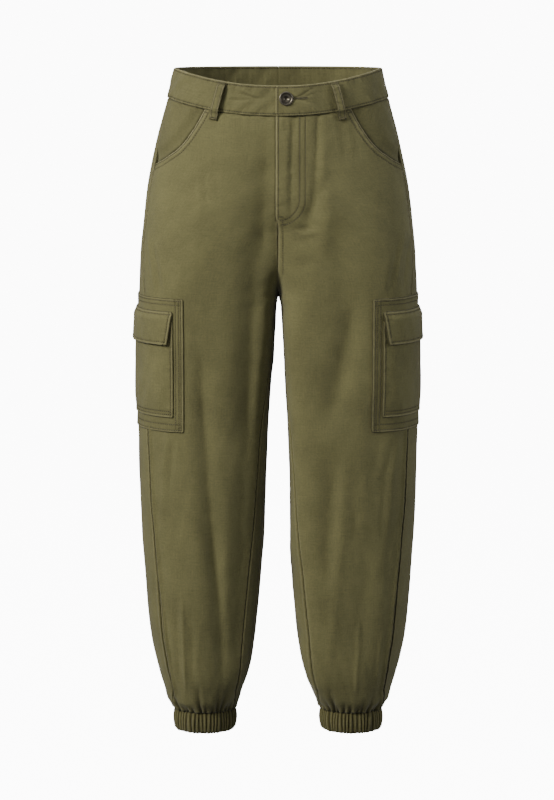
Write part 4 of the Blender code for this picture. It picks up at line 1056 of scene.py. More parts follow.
def makePanel(word, side, face):
    sizes = panelSizes
    name = ("front_" if face > 0 else "back_") + word
    inside = rowHeights(form["waistSeam"], form["legEnd"] + form["seamGap"], sizes["rows"])
    heights = np.concatenate([[inside[0]] * 2, inside, [inside[-1]] * 2])
    half = sizes["halfTurned"]
    rowTurn = np.zeros(len(heights))
    rowTurn[[0, 1, -2, -1]] = np.array([1, half, half, 1]) * sizes["rowTurn"]
    table = arcTable(heights, *panelEdges(side, face, heights))
    distances = panelColumns(side, face, heights, table)
    angles = anglesAt(table, distances)
    length = table[1][:, -1:]
    tall = heights[:, None]
    grid = np.broadcast_to(tall, angles.shape)
    startTurn = np.full(len(heights), sizes["seamTurn"])
    endTurn = startTurn.copy()
    if face > 0:
        less = sizes["foldTurn"] - sizes["seamTurn"]
        startTurn += less * ease((heights - mouthEnd) / sizes["mouthFade"])
        flyEnd = flySizes["end" if side > 0 else "lapEnd"]
        endTurn += less * ease((heights - flyEnd) / sizes["flyFade"])
    columnTurn = np.zeros(angles.shape)
    columnTurn[:, [0, 1]] = startTurn[:, None] * [1, half]
    columnTurn[:, [-2, -1]] = endTurn[:, None] * [half, 1]
    turn = np.maximum(columnTurn, rowTurn[:, None])
    fromStart = np.clip(distances, 0, None)
    fromEnd = np.clip(length - distances, 0, None)
    beside = np.minimum(fromStart, fromEnd)
    fromTop = heights[0] - grid
    fromBottom = grid - heights[-1]
    roll = np.minimum(rolledEdge(beside, *sizes["roll"]),
                      rolledEdge(np.minimum(fromTop, fromBottom), *sizes["roll"]))
    base = bodyRelief(side, grid, angles, bell(fromEnd, sizes["quiet"])) + flyRise(side, grid, angles)
    flat = distances - distancesAt(table, np.full((len(heights), 1), face * math.pi / 2))
    gathered, valley = gatherPush(side, grid, angles)
    relief = base + gathered
    # small puckers along seams and below the waistband
    pucker = sizes["pucker"] * ripple(grid, 7 * side + 31) * bell(beside, sizes["puckerWidth"])
    relief += pucker * (tall < mouthEnd)
    below = 1 - ease((tall - sizes["shinTop"]) / sizes["shinFade"])
    if face > 0:
        relief += ridge(fromStart, sizes["outseamRidge"]) * below
        relief += ridge(fromStart, sizes["outseamDip"]) * below
    else:
        relief += ridge(fromEnd, sizes["backRidge"]) * below
    waist = ripple(angles * sizes["waistRadius"], 60 + side, sizes["waistLengths"])
    relief += sizes["waistPucker"] * waist * bell(fromTop, sizes["waistPuckerDrop"], 1)
    (outTop, outFade, outShare), (inTop, inFade, inShare) = sizes["paleOut"], sizes["paleIn"]
    startPale = outShare * ease((outTop - tall) / outFade) * (side < 0)
    endPale = inShare * ease((inTop - tall) / inFade) * (side > 0)
    # painted shade along the seams, below the waist, above the cuff, in gather valleys and in stitched
    # channels
    shade = (ridge(fromStart, sizes["seamShade"]) * (1 - startPale)
             + ridge(fromEnd, sizes["seamShade"]) * (1 - endPale) + ridge(fromTop, sizes["waistShade"]))
    shade += (ridge(fromBottom, sizes["cuffShade"])
              + ridge(fromStart, sizes["outseamShade"]) * below * (side > 0))
    shade += np.clip(valley / sizes["valleyDepth"], 0, sizes["valleyShade"])
    # wear with painted highlight beside the seams and along the pocket mouth
    wornAndLit = ridge(beside, sizes["seamWearLight"])
    if face > 0:
        lines = mouthLines(side) + [outseamLine(side)] + (flyLines() if side > 0 else [])
        groove = bell(lineAway(side, grid, angles, lines), grooveWidth)
        relief -= sizes["grooveDepth"] * groove
        onMouth = ease((tall - mouthEnd) / sizes["edgeFade"])
        wave = sizes["mouthWave"] * ripple(grid, 90 + side, sizes["mouthLengths"])
        relief += wave * bell(fromStart, sizes["mouthWaveWidth"]) * onMouth
        wornAndLit += (ridge(fromStart, sizes["mouthWearLight"]) + ridge(fromStart, sizes["channelWearLight"])) * onMouth
        shade = np.where(fromStart < sizes["plainEdge"], shade * (1 - onMouth), shade)
        shade += (sizes["grooveShade"] + sizes["mouthGrooveShade"] * onMouth) * groove
    if face > 0 and side < 0:       # painted shadow under the folded edge of the fly
        flyShadow = ridge(distanceFromCentre(grid, angles), flySizes["shade"])
        shade += flyShadow * (grid > flySizes["end"]) * (angles > 0)
    if face > 0 and side > 0:
        onFly = flyShare(grid, flySizes["end"])
        wave = ripple(grid + flySizes["puckerSlant"] * flat, 33, flySizes["puckerLengths"])
        relief += flySizes["pucker"] * wave * (bell(fromEnd, flySizes["reach"], 6) * onFly)
        # wear with painted highlight on the fly's folded edge
        wornAndLit += ridge(fromEnd, flySizes["wearAndLight"]) * onFly
        shade = np.where(fromEnd < sizes["plainEdge"], shade * (1 - onFly), shade)
    outer = pushed(side, grid, angles, relief + roll - turn)
    inner = pushed(side, grid, angles, base - form["twill"])
    # the edges of the centre seams meet, however the cloth beside them moves
    aboveCrotch = ease((heights - form["crotch"]) / sizes["joinHeight"])
    short = (formAt(side, heights, angles[:, -3])[0][:, 0] - outer[:, -3, 0]) * aboveCrotch
    short = short[:, None] * (1 - ease(fromEnd / sizes["joinWidth"]))
    outer[..., 0] += short
    inner[..., 0] += short
    if side > 0:        # the left seam allowance closes the seam from behind
        outer[:, -2:, 0] -= (outer[:, -2:, 0] + sizes["joinGap"]) * aboveCrotch[:, None]
    uv = np.stack([face * side * flat, grid], -1)
    makeWall(name, outer, inner, uv, wornAndLit, shade, twillCloth)
    keepSheet(name, side, inside, angles[2:-2], outer[2:-2])


for word, side in sides.items():
    for face in (1, -1):
        makePanel(word, side, face)
print("front and back panels made")

# facings behind the pocket mouths

facingSizes = {
    "end": -0.138,
    "rows": [(-0.024, 0.0022), (-0.138, 0.0030)],
    "columns": 46,
    "hidden": 0.018,           # runs this far under the front
    "drop": 0.0034,            # and lies this much deeper
    "dropEdge": 0.005,
    "dropWidth": 0.012,
    "thick": 0.0012,
    "sideTurn": (0.0040, 0.0018),
    "topTurn": (0.0022, 0.0009),
    "roll": (0.0010, 0.0018),
    "wrinkle": 0.00040,
    "wrinkleLengths": (0.0075, 0.011, 0.017),
    "wrinkleSlant": 0.7,
    "wrinkleDrop": 0.022,
    "wrinkleGap": 0.006,
    "sideShade": (0.5, 0, 0.001),
    "topShade": (0.5, 0, 0.0012),
    "mouthShade": 0.95,        # in the shadow of the pocket's mouth
    "mouthShadeSpan": (0.0004, 0.0034),
    "allShade": 0.18,
    "wearAndLight": (0.3, 0.0022, 0.0011),
    "cut": ((0.105, 0.116), "stretched", 0.0098),
}


def makeFacing(word, side):
    sizes = facingSizes
    heights = rowHeights(form["waistSeam"], sizes["end"], sizes["rows"])
    heights = np.concatenate([[heights[0]] * 2, heights])
    start = outseamAngle(heights) + form["seamGap"] / 2 / shapeAt(heights)[1]
    mouth = mouthAngle(heights)
    hidden = arcTable(heights, mouth, mouth + math.pi / 2)
    end = anglesAt(hidden, np.full((len(heights), 1), sizes["hidden"]))[:, 0]
    share = np.concatenate([[0, 0], np.linspace(0, 0.03, 4), np.linspace(0.05, 1, sizes["columns"])])
    angles = start[:, None] + (end - start)[:, None] * share
    grid = np.broadcast_to(heights[:, None], angles.shape)
    fromCentre = distanceFromCentre(grid, angles)
    away = np.full(angles.shape, 1.0)       # from the mouth's edge, 0 where the front covers the facing
    for (h, c), (k, d) in zip(mouthPlaces, mouthPlaces[1:]):
        alongX, alongZ = d - c, k - h
        t = np.clip(((fromCentre - c) * alongX + (grid - h) * alongZ) / (alongX ** 2 + alongZ ** 2), 0, 1)
        away = np.minimum(away, np.hypot(fromCentre - c - alongX * t, grid - h - alongZ * t))
    away = np.where((fromCentre <= mouthFromCentre(grid)) | (grid <= mouthEnd), 0, away)
    drop = sizes["drop"] * (1 - ease((away - sizes["dropEdge"]) / sizes["dropWidth"]))
    flat = distancesAt(arcTable(heights, start, end), angles)
    turn = np.zeros(angles.shape)
    turn[:, [0, 1]] = sizes["sideTurn"]
    turn[0] = sizes["topTurn"][0]
    turn[1] = np.maximum(turn[1], sizes["topTurn"][1])
    top = grid[0, 0] - grid
    # short slanting wrinkles near the waist seam
    wave = sizes["wrinkle"] * ripple(flat - sizes["wrinkleSlant"] * top, 70 + side, sizes["wrinkleLengths"])
    wave = wave * bell(top, sizes["wrinkleDrop"], 1) * ease(away / sizes["wrinkleGap"])
    base = bodyRelief(side, grid, angles)
    roll = rolledEdge(np.minimum(flat, top), *sizes["roll"])
    outer = pushed(side, grid, angles, base + wave - drop + roll - turn)
    inner = pushed(side, grid, angles, base - drop - sizes["thick"])
    # painted shade along its seams, in the shadow of the mouth and over the whole facing; painted highlight
    # and wear on its edge
    shade = ridge(flat, sizes["sideShade"]) + ridge(top, sizes["topShade"]) + sizes["allShade"]
    shadeStart, shadeWidth = sizes["mouthShadeSpan"]
    shade += sizes["mouthShade"] * (1 - ease((away - shadeStart) / shadeWidth))
    uv = np.stack([side * flat, grid], -1)
    makeWall("pocket_facing_" + word, outer, inner, uv, ridge(flat, sizes["wearAndLight"]), shade, twillCloth,
             inset=(2, 3))


for word, side in sides.items():
    makeFacing(word, side)
print("pocket facings made")

# waistband: two halves that meet at the back and lap at the front

bandSizes = {
    "proud": 0.0009,
    "inside": -0.0022,
    "endRight": 0.034,
    "endLeft": 0.0036,
    "lapRise": 0.0028,
    "lapStart": 0.062,
    "lapFull": 0.037,
    "lapPressed": (0.42, 0, 0.009),     # flatter beside the waist seam
    "corner": 0.0045,
    "roll": (0.48, 0.0015),    # share of the thickness, and width
    "columnStep": 0.0017,
    "rowStep": 0.0012,
    "nearEdge": (0, 0.0002, 0.0006, 0.0012, 0.002, 0.003, 0.004, 0.005),
    "nearRow": (0, 0.00008, 0.0003, 0.0008, 0.0015, 0.0022, 0.0029, 0.0036, 0.0045),
    "stitchRows": (0.0156, -0.0206),
    "endRow": 0.0032,
    "puff": 0.00030,
    "pucker": 0.00040,
    "puckerSlant": 0.25,
    "puckerLengths": (0.0080, 0.0123, 0.0205),
    "puckerWidths": (0.005, 0.006),
    "waver": 0.00055,
    "waverWidths": (0.022, 0.052),
    "waverStretch": 1.2,
    "grooveDepth": 0.00048,
    "insidePucker": 0.00014,
    "insideLengths": (0.0073, 0.0112, 0.0187),
    "insideGroove": 0.00028,
    "insideEdge": 0.002,
    "grooveShade": 0.85,
    "seamShade": (0.6, 0, 0.0006),
    "backShade": (0.25, 0, 0.0009),
    "seamWearLight": (0.5, 0.0014, 0.0007),
    "topWearLight": (0.9, 0, 0.0015),
    "endWearLight": (0.8, 0, 0.0012),
    "pull": {1: 0.0166, -1: 0.047},     # lines start this far from the end of each half
    "pullHeight": 0.0002,
    "pullBend": 0.03,
    "pullFade": 0.6,           # a share of how far they run
    "drags": {      # lines pulled from the button: slope, width, depth, how far they run
        1: [(0.34, 0.0017, 0.0014, 0.022), (0.12, 0.0015, 0.0010, 0.024), (-0.22, 0.0017, 0.0011, 0.020)],
        -1: [(0.10, 0.0022, 0.0011, 0.028), (-0.10, 0.0022, 0.0010, 0.034), (0.26, 0.0020, -0.0006, 0.030)],
    },
    "cut": ((0.43, 0.0425), "stretched", None),
}


def bandLap(side, height, angle):       # the left end rises over the right one
    if side < 0:
        return np.zeros(angle.shape)
    start, full = bandSizes["lapStart"], bandSizes["lapFull"]
    rise = ease((start - distanceFromCentre(height, angle)) / (start - full))
    return bandSizes["lapRise"] * rise * (angle > 0)


def makeBand(word, side):
    sizes = bandSizes
    top, bottom = form["bandTop"], form["waistSeam"] + form["seamGap"]
    depth = edgeSpread(top - bottom, sizes["nearRow"], sizes["rowStep"])
    heights = top - depth
    up = depth[-1] - depth[:, None]
    half = float(shapeAt(form["waistSeam"])[1])
    past = sizes["endRight"] if side < 0 else sizes["endLeft"]
    start = np.full(len(heights), -math.pi / 2)
    end = np.full(len(heights), math.pi / 2 + past / half)
    table = arcTable(heights, start, end, 400)
    length = table[1][:, -1:]
    columns = edgeSpread(float(length.mean()), sizes["nearEdge"], sizes["columnStep"])
    fromRow = np.minimum(depth, depth[-1] - depth)
    inset = cornerInset(fromRow, sizes["corner"])
    distances = columns / columns[-1] * (length - inset)
    angles = anglesAt(table, distances)
    grid = np.broadcast_to(heights[:, None], angles.shape)
    fromEnd = length - inset - distances
    fromEdge = np.minimum(np.minimum(distances, fromEnd), fromRow[:, None])
    lap = bandLap(side, grid, angles) * (1 - ridge(up, sizes["lapPressed"]))
    groove = grooves(grid, sizes["stitchRows"])
    if side > 0:
        groove = np.maximum(groove, grooves(fromEnd, (sizes["endRow"],)))
    puff = sizes["puff"] * np.sin(math.pi * np.clip((depth / depth[-1])[:, None], 0, 1))
    wave = ripple(distances + sizes["puckerSlant"] * grid, 110 + side, sizes["puckerLengths"])
    nearRow = sum(bell(grid - row, wide) for row, wide in zip(sizes["stitchRows"], sizes["puckerWidths"]))
    waver = sizes["waver"] * unevenness(distances, grid, 120 + side, sizes["waverWidths"],
                                        sizes["waverStretch"])
    # lines that drag from the buttonhole
    drag = np.zeros(angles.shape)
    out = length - sizes["pull"][side] - distances
    for slope, width, size, reach in sizes["drags"][side]:
        line = grid - sizes["pullHeight"] - slope * out * np.clip(out / sizes["pullBend"], 0, 1)
        drag -= size * bell(line, width) * bell(out - reach, sizes["pullFade"] * reach)
    relief = puff + sizes["pucker"] * wave * nearRow + waver - sizes["grooveDepth"] * groove + drag
    share, wide = sizes["roll"]
    rolled = rolledEdge(fromEdge, (sizes["proud"] - sizes["inside"]) * share, wide)
    outer = pushed(side, grid, angles, sizes["proud"] + lap + relief + rolled)
    creased = sizes["insidePucker"] * ripple(distances, 130 + side, sizes["insideLengths"])
    creased -= sizes["insideGroove"] * groove
    creased = creased * (fromEdge > sizes["insideEdge"])
    inner = pushed(side, grid, angles, sizes["inside"] + lap + waver + creased
                   - rolled * (distances > fromRow[:, None]))
    # painted shade in stitched channels, along the waist seam and at the centre back; painted highlight and
    # wear along the edges
    shade = (sizes["grooveShade"] * groove + ridge(up, sizes["seamShade"])
             + ridge(distances, sizes["backShade"]))
    wornAndLit = (ridge(up, sizes["seamWearLight"]) + ridge(depth[:, None], sizes["topWearLight"])
            + ridge(fromEnd, sizes["endWearLight"]) * (side > 0))
    uv = np.stack([grid, side * distances], -1)
    name = "waistband_" + word
    makeWall(name, outer, inner, uv, wornAndLit, shade, bandCloth, skip=1, inset=(0, 0))
    keepSheet(name, side, heights, angles, outer)
    keepSheet("inside_" + name, side, heights, angles, inner, -1)


for word, side in sides.items():
    makeBand(word, side)
print("waistband made")

# belt loops

loopSizes = {
    "width": 0.012,
    "thick": 0.0018,
    "path": [(0.0170, 0.0), (0.0140, 0.0001), (0.0112, 0.0020), (0.0070, 0.0040), (-0.0080, 0.0044),
             (-0.0220, 0.0040), (-0.0266, 0.0022), (-0.0300, 0.0002), (-0.0360, 0.0)],
    "across": (0, 0.0002, 0.0006, 0.0012, 0.002, 0.0026, 0.0034, 0.0046, 0.006),
    "frontAngle": math.radians(58),
    "frontLean": 0.8,
    "middle": -0.010,
    "backAngle": math.radians(-40),
    "gap": 0.0005,             # off the trousers
    "bandGap": 0.0002,         # and off the waistband
    "stitchRow": 0.0026,
    "tacks": (0.0022, 0.0030, 0.0095),     # from the top, from the end, and length
    "grooveWidth": 0.0007,
    "grooveDepth": 0.0003,
    "grooveShade": 0.6,
    "turnedEnd": 0.0007,
    "turnedLength": (0.007, 0.0015),   # and its fade
    "bandFade": (0.002, 0.004),        # begins this far below the waist seam, and its height
    "puff": 0.0003,
    "roll": (0.45, 0.0012),    # share of the thickness, and width
    "wave": 0.00015,
    "waveLengths": (0.006, 0.0095),
    "endShade": (0.5, 0.0012),
    "edgeShade": (1.0, 0, 0.0010),
    "wearAndLight": (1.5, 0.0018, 0.0008),
    "cut": ((0.012, 0.060), "folded", None),
}
loops = [("belt_loop_front_" + word, side, loopSizes["frontAngle"]) for word, side in sides.items()]
loops += [("belt_loop_back_" + word, side, loopSizes["backAngle"]) for word, side in sides.items()]
loops.append(("belt_loop_centre_back", 1, -math.pi / 2))


def loopAngle(angle, heights):      # the two front loops lean
    lean = loopSizes["frontLean"] if angle > 0 else 0
    return angle + lean * (heights - loopSizes["middle"])


def perMetre(side, heights, angle):     # angle that covers a metre of a row
    one = formAt(side, heights, angle - 0.01)[0]
    other = formAt(side, heights, angle + 0.01)[0]
    return 0.02 / np.linalg.norm((one - other)[..., :2], axis=-1)


def makeLoop(name, side, angle):
    sizes = loopSizes
    path = smoothLine(sizes["path"], 0.0009)
    heights = np.minimum.accumulate(path[:, 0] - np.arange(len(path)) * 1e-7)
    across = np.array(sizes["across"])
    across = np.concatenate([across, sizes["width"] - across[-2::-1]]) - sizes["width"] / 2
    middle = loopAngle(angle, heights)
    angles = middle[:, None] + across * perMetre(side, heights, middle)[:, None]
    grid = np.broadcast_to(heights[:, None], angles.shape)
    below, fade = sizes["bandFade"]
    onBand = ease((grid - form["waistSeam"] + below) / fade)
    seat = sizes["gap"] + (bandSizes["proud"] + sizes["bandGap"]) * onBand
    fromSide = sizes["width"] / 2 - np.abs(across)
    fromEnd = np.minimum(heights[0] - heights, heights - heights[-1])[:, None]
    fromEdge = np.minimum(fromSide, fromEnd)
    groove = grooves(fromSide, (sizes["stitchRow"],), sizes["grooveWidth"])
    turned, fade = sizes["turnedLength"]
    folded = sizes["turnedEnd"] * (1 - ease((fromEnd - turned) / fade))
    puff = sizes["puff"] * (1 - (across / across[-1]) ** 2)
    base = bodyRelief(side, grid, angles) * (1 - onBand) + seat + path[:, 1:]
    share, wide = sizes["roll"]
    rolled = rolledEdge(fromEdge, sizes["thick"] * share, wide)
    wave = sizes["wave"] * ripple(grid, 200 + len(name), sizes["waveLengths"])
    relief = base + sizes["thick"] + folded + puff + wave - sizes["grooveDepth"] * groove + rolled
    outer = pushed(side, grid, angles, relief)
    inner = pushed(side, grid, angles, base - rolled)
    endShade, endWidth = sizes["endShade"]
    # painted shade in stitched channels and at the ends, with a painted shadow as an outline along the edges;
    # painted highlight and wear beside the edges
    shade = (sizes["grooveShade"] * groove + endShade * (1 - ease(fromEnd / endWidth))
             + ridge(fromEdge, sizes["edgeShade"]))
    uv = np.stack([np.broadcast_to(side * across, angles.shape), grid], -1)
    makeWall(name, outer, inner, uv, ridge(fromEdge, sizes["wearAndLight"]), shade, bandCloth,
             skip=1, inset=(0, 0))
    keepSheet(name, side, heights, angles, outer)


for name, side, angle in loops:
    makeLoop(name, side, angle)
print("belt loops made")

# cargo pockets: a backing with turned edges, a patch pocket on it and a flap over its mouth

cargoSizes = {      # heights, and distances of the edges over the back and from the centre in front
    "backingTop": -0.302, "backingEnd": -0.4935, "backingBack": 0.114, "backingFront": 0.1325,
    "pocketTop": -0.333, "pocketEnd": -0.4725, "pocketBack": 0.096, "pocketFront": 0.1468,
    "flapTop": -0.3205, "flapEnd": -0.3685, "flapBack": 0.096, "flapFront": 0.1468,
    "fullBack": 0.420, "shrink": 0.6,      # where the leg is narrower, the rear edge comes nearer
    "backingOut": 0.0015,
    "pocketWall": 0.0013,
    "puff": 0.0020,
    "puffFade": (0.030, 0.16),     # from the lower edge, and from the sides as a share of the width
    "flapWall": 0.0016,
    "flapFlare": 0.0018,
    "flapSlant": 0.0065,
    "flapCornerLift": (0.0020, 0.20),      # and the share of the width that it takes in
    "corner": 0.0035,
    "nearEdge": (0, 0.0002, 0.0006, 0.0012, 0.002, 0.003, 0.004, 0.005, 0.006, 0.007, 0.008, 0.009,
                 0.010, 0.011, 0.012, 0.013, 0.0145),
    "backingRows": {"side": (0.0042, 0.0074, 0.0122), "top": (0.0035, 0.0092), "bottom": (0.0035, 0.0115)},
    "pocketRows": {"side": (0.0042,), "top": (), "bottom": (0.0048, 0.0092)},
    "flapRows": {"side": (0.0048,), "top": (0.0042,), "bottom": (0.0050,)},
    "roll": (0.72, 0.0013),    # share of the thickness, and width
    "pucker": 0.00026,
    "puckerLengths": (0.0080, 0.0120, 0.0190),
    "puckerWidth": 0.012,
    "plainEdge": 0.003,
    "waver": 0.00025,
    "waverEdge": 0.02,
    "waverWidths": (0.020, 0.045),
    "waverStretch": 1.5,
    "grooveDepth": 0.00034,
    "grooveShade": 0.60,
    "rim": (0.00030, 0.0020, 0.0011),
    "edgeShade": (1.0, 0, 0.0008),
    "wearAndLight": {-1: (0.65, 0.0021, 0.0008), 1: (1.3, 0.0021, 0.0008)},     # painted highlight and wear on the edges, stronger on the left leg: right, left
}
cargoPieces = [     # kind, node, thickness, flat size, step between columns
    ("backing", "pocket_backing_", cargoSizes["backingOut"] - form["seamGap"], (0.193, 0.195), 0.0026),
    ("pocket", "cargo_pocket_", cargoSizes["pocketWall"], (0.156, 0.144), 0.0026),
    ("flap", "pocket_flap_", cargoSizes["flapWall"], (0.152, 0.046), 0.0022),
]


def markAngle(side, heights, mark):     # angle of a pocket's rear edge, on the back panel's own columns
    table = arcTable(heights, *panelEdges(side, -1, heights))
    even = evenLength(side, -1, heights, table[1][:, -1])
    scale = np.minimum(1, (even / cargoSizes["fullBack"]) ** cargoSizes["shrink"])
    return anglesAt(table, (mark * scale)[:, None])[:, 0]


def pocketPuff(heights, share):
    low, beside = cargoSizes["puffFade"]
    rise = ease((heights - cargoSizes["pocketEnd"]) / low)
    return cargoSizes["puff"] * rise * ease(np.minimum(share, 1 - share) / beside)


def flapDrop(heights):      # 0 along the flap's top, 1 along its lower edge
    top, end = cargoSizes["flapTop"], cargoSizes["flapEnd"]
    return np.clip((top - heights) / (top - end), 0, 1)


def cargoEdges(kind, side, heights):    # back and front edges of a piece of the cargo pocket
    back = markAngle(side, heights, cargoSizes[kind + "Back"])
    front = angleFromCentre(heights, cargoSizes[kind + "Front"])
    slant = cargoSizes["flapSlant"] * flapDrop(heights) / foldRadius if kind == "flap" else 0
    return back + slant, front - slant


def cargoLift(kind, heights, share):    # how far the underside stands off the leg
    sizes = cargoSizes
    gap = form["seamGap"]
    if kind == "backing":
        return np.full(share.shape, gap)
    seat = sizes["backingOut"] + gap
    if kind == "pocket":
        return seat + pocketPuff(heights, share)
    over = ease((sizes["flapTop"] - heights) / (sizes["flapTop"] - sizes["pocketTop"]))
    cornerLift, wide = sizes["flapCornerLift"]
    nearCorner = 1 - ease(np.minimum(share, 1 - share) / wide)
    lift = over * (sizes["pocketWall"] + gap + pocketPuff(heights, share))
    return seat + lift + flapDrop(heights) * (sizes["flapFlare"] + cornerLift * nearCorner)


def makeCargo(kind, node, side, thick, step):
    sizes = cargoSizes
    top, bottom = sizes[kind + "Top"], sizes[kind + "End"]
    rows = sizes[kind + "Rows"]
    depth = edgeSpread(top - bottom, sizes["nearEdge"], step)
    heights = top - depth
    back, front = cargoEdges(kind, side, heights)
    table = arcTable(heights, back, front)
    length = table[1][:, -1:]
    columns = edgeSpread(float(length.mean()), sizes["nearEdge"], step)
    inset = cornerInset(np.minimum(depth, depth[-1] - depth), sizes["corner"])
    distances = inset + columns / columns[-1] * (length - 2 * inset)
    angles = anglesAt(table, distances)
    grid = np.broadcast_to(heights[:, None], angles.shape)
    share = (angles - back[:, None]) / (front - back)[:, None]
    fromSide = np.minimum(distances - inset, length - inset - distances)
    below = np.broadcast_to(depth[:, None], angles.shape)
    above = depth[-1] - below
    fromRow = np.minimum(below, above)
    fromEdge = np.minimum(fromSide, fromRow)
    along = np.where(fromSide < fromRow, grid, distances)
    level = grooves(below, rows["top"]) + grooves(above, rows["bottom"])
    level = level * (fromSide > sizes["plainEdge"])
    groove = np.clip(grooves(fromSide, rows["side"]) + level, 0, 1)
    seed = 300 + side + 10 * len(kind)
    wave = ripple(along, seed, sizes["puckerLengths"]) * bell(fromEdge, sizes["puckerWidth"])
    own = sizes["pucker"] * (wave * ease(fromEdge / sizes["plainEdge"]))
    if kind != "backing":
        waver = unevenness(distances, grid, seed, sizes["waverWidths"], sizes["waverStretch"])
        own += sizes["waver"] * (waver * ease(fromEdge / sizes["waverEdge"]))
    own -= sizes["grooveDepth"] * groove
    base = bodyRelief(side, grid, angles) + cargoLift(kind, grid, np.clip(share, 0, 1))
    rollShare, wide = sizes["roll"]
    rolled = rolledEdge(fromEdge, thick * rollShare, wide)
    outer = pushed(side, grid, angles, base + thick + own + ridge(fromEdge, sizes["rim"]) + rolled)
    inner = pushed(side, grid, angles, base)
    # painted shade in stitched channels, and a painted shadow as a dark outline along the edges
    shade = sizes["grooveShade"] * groove + ridge(fromEdge, sizes["edgeShade"])
    uv = np.stack([side * distances, grid], -1)
    makeWall(node, outer, inner, uv, ridge(fromEdge, sizes["wearAndLight"][side]), shade, twillCloth,
             skip=1 if kind == "flap" else 4, inset=(0, 0))
    keepSheet(node, side, heights, angles, outer)


for word, side in sides.items():
    for kind, node, thick, flatSize, step in cargoPieces:
        makeCargo(kind, node + word, side, thick, step)
print("cargo pockets made")

# elastic cuffs

cuffSizes = {
    "ribs": 50,
    "perRib": 10,
    "rows": 24,
    "rib": 0.0033,
    "valley": 0.0012,
    "ribFlatness": 0.65,
    "drift": (0.80, (3, 5, 8, 13)),     # ribs of uneven width: how much, and how often round the cuff
    "wander": (0.85, (6, 11, 17)),      # and they run together here and there
    "ribHeight": 0.82,
    "uneven": ((0.18, 9), (0.14, 16)),
    "flatEnds": (0.10, 0.80, 0.7),      # the ribs flatten to both ends: start, span, power
    "bulge": 0.0015,
    "inside": -0.0022,
    "topDip": (0.0012, 0.10),           # how much, and over what share of the height
    "endDip": (0.0016, 0.93, 0.07),     # how much, from where, and over what share
    "scallop": (0.0011, 0.6, 0.4),
    "overlap": 0.0005,         # the top edge lies this far over the end of the leg
    "valleyShade": (1.05, 0.8),         # painted shade between the ribs: how much, and how evenly
    "topShade": (0.5, 0.08),
    "wearAndLight": (0.6, 0.8, 0.2),            # wear with painted highlight on ribs higher than a share of the highest
    "radius": 0.075,           # for the pattern alone, wider than the cuff, as it is gathered
    "cut": ((0.30, 0.033), "gathered", None),
}


def makeCuff(word, side):
    sizes = cuffSizes
    rng = np.random.default_rng(500 + side)
    top, bottom = form["legEnd"], form["cuffEnd"]
    columns = sizes["ribs"] * sizes["perRib"]
    turn = 2 * math.pi * np.arange(columns) / columns
    share = np.linspace(0, 1, sizes["rows"])[:, None]
    size, counts = sizes["drift"]
    phase = sizes["ribs"] * turn
    for times in counts:
        phase = phase + size * np.sin(times * turn + rng.uniform(*anyPhase))
    size, counts = sizes["wander"]
    wander = sum(size * np.sin(times * turn + rng.uniform(*anyPhase)) for times in counts)
    shape = np.abs(np.sin((phase + share * wander) / 2)) ** sizes["ribFlatness"]
    uneven = sum((size * np.sin(times * turn + rng.uniform(*anyPhase))
                  for size, times in sizes["uneven"]), sizes["ribHeight"])
    start, span, power = sizes["flatEnds"]
    ends = np.sin(math.pi * np.clip(start + span * share, 0, 1)) ** power
    out = sizes["bulge"] * np.sin(math.pi * share) + (sizes["rib"] * shape * uneven - sizes["valley"]) * ends
    topDip, topFade = sizes["topDip"]
    endDip, start, fade = sizes["endDip"]
    out = out - topDip * (1 - ease(share / topFade)) - endDip * ease((share - start) / fade)
    level = top + (bottom - top) * share
    scallop, start, fade = sizes["scallop"]
    heights = level - scallop * shape * uneven * ease((share - start) / fade)
    heights = heights + sizes["overlap"]
    angles = np.broadcast_to(turn, heights.shape)
    outer = pushed(side, heights, angles, out)
    inner = pushed(side, np.broadcast_to(level, heights.shape), angles, sizes["inside"])
    valleyShade, power = sizes["valleyShade"]
    topShade, fade = sizes["topShade"]
    # painted shade in the valleys between the ribs and along the top, under the leg
    shade = valleyShade * (1 - shape) ** power + topShade * (1 - ease(share / fade))
    wearAndLight, start, fade = sizes["wearAndLight"]
    wornAndLit = wearAndLight * np.clip(shape - start, 0, 1) / fade * ends
    uv = np.stack([angles * sizes["radius"], heights], -1)
    makeWall("cuff_" + word, outer, inner, uv, wornAndLit, shade, shadedCasingCloth,
             skip=6, inset=(0, 0), ring=True)


for word, side in sides.items():
    makeCuff(word, side)
print("cuffs made")

# stitches: one is modelled, and copied along every row

stitchSizes = {     # drawn longer and thicker than real ones of 2.5 to 3 mm, so that they show
    "long": 0.0034,
    "thick": 0.00125,
    "flat": 0.8,
    "pitch": 0.00345,
    "above": 0.00004,
    "dark": 0.0,
}
closeStitches = {   # what differs from a plain stitch
    "tack": {"long": 0.0021, "thick": 0.00048, "pitch": 0.00055, "above": 0.0003},
    "loop": {"pitch": 0.0024},
    "hole": {"long": 0.0018, "thick": 0.0005, "pitch": 0.0006, "above": 0.0002},
    "holeEnd": {"long": 0.0020, "thick": 0.0005, "pitch": 0.0006, "above": 0.0002},
    # the slit: one long stitch painted dark all over, a painted shade in the buttonhole's opening
    "slit": {"long": 0.0064, "thick": 0.0007, "pitch": 0.006, "above": 0.00002, "dark": 1.0},
}
sunkShade = {"ends": (0.16, 0.14), "flanks": (0.14, 0.34)}      # where a stitch is painted in shade, as shares of its size
buttonhole = {"height": 0.0002, "near": 0.017, "far": 0.040, "rise": 0.0011, "end": (0.0020, -0.0016)}
seatSizes = {"top": -0.026, "end": -0.288, "rows": (0.0018, 0.0078)}


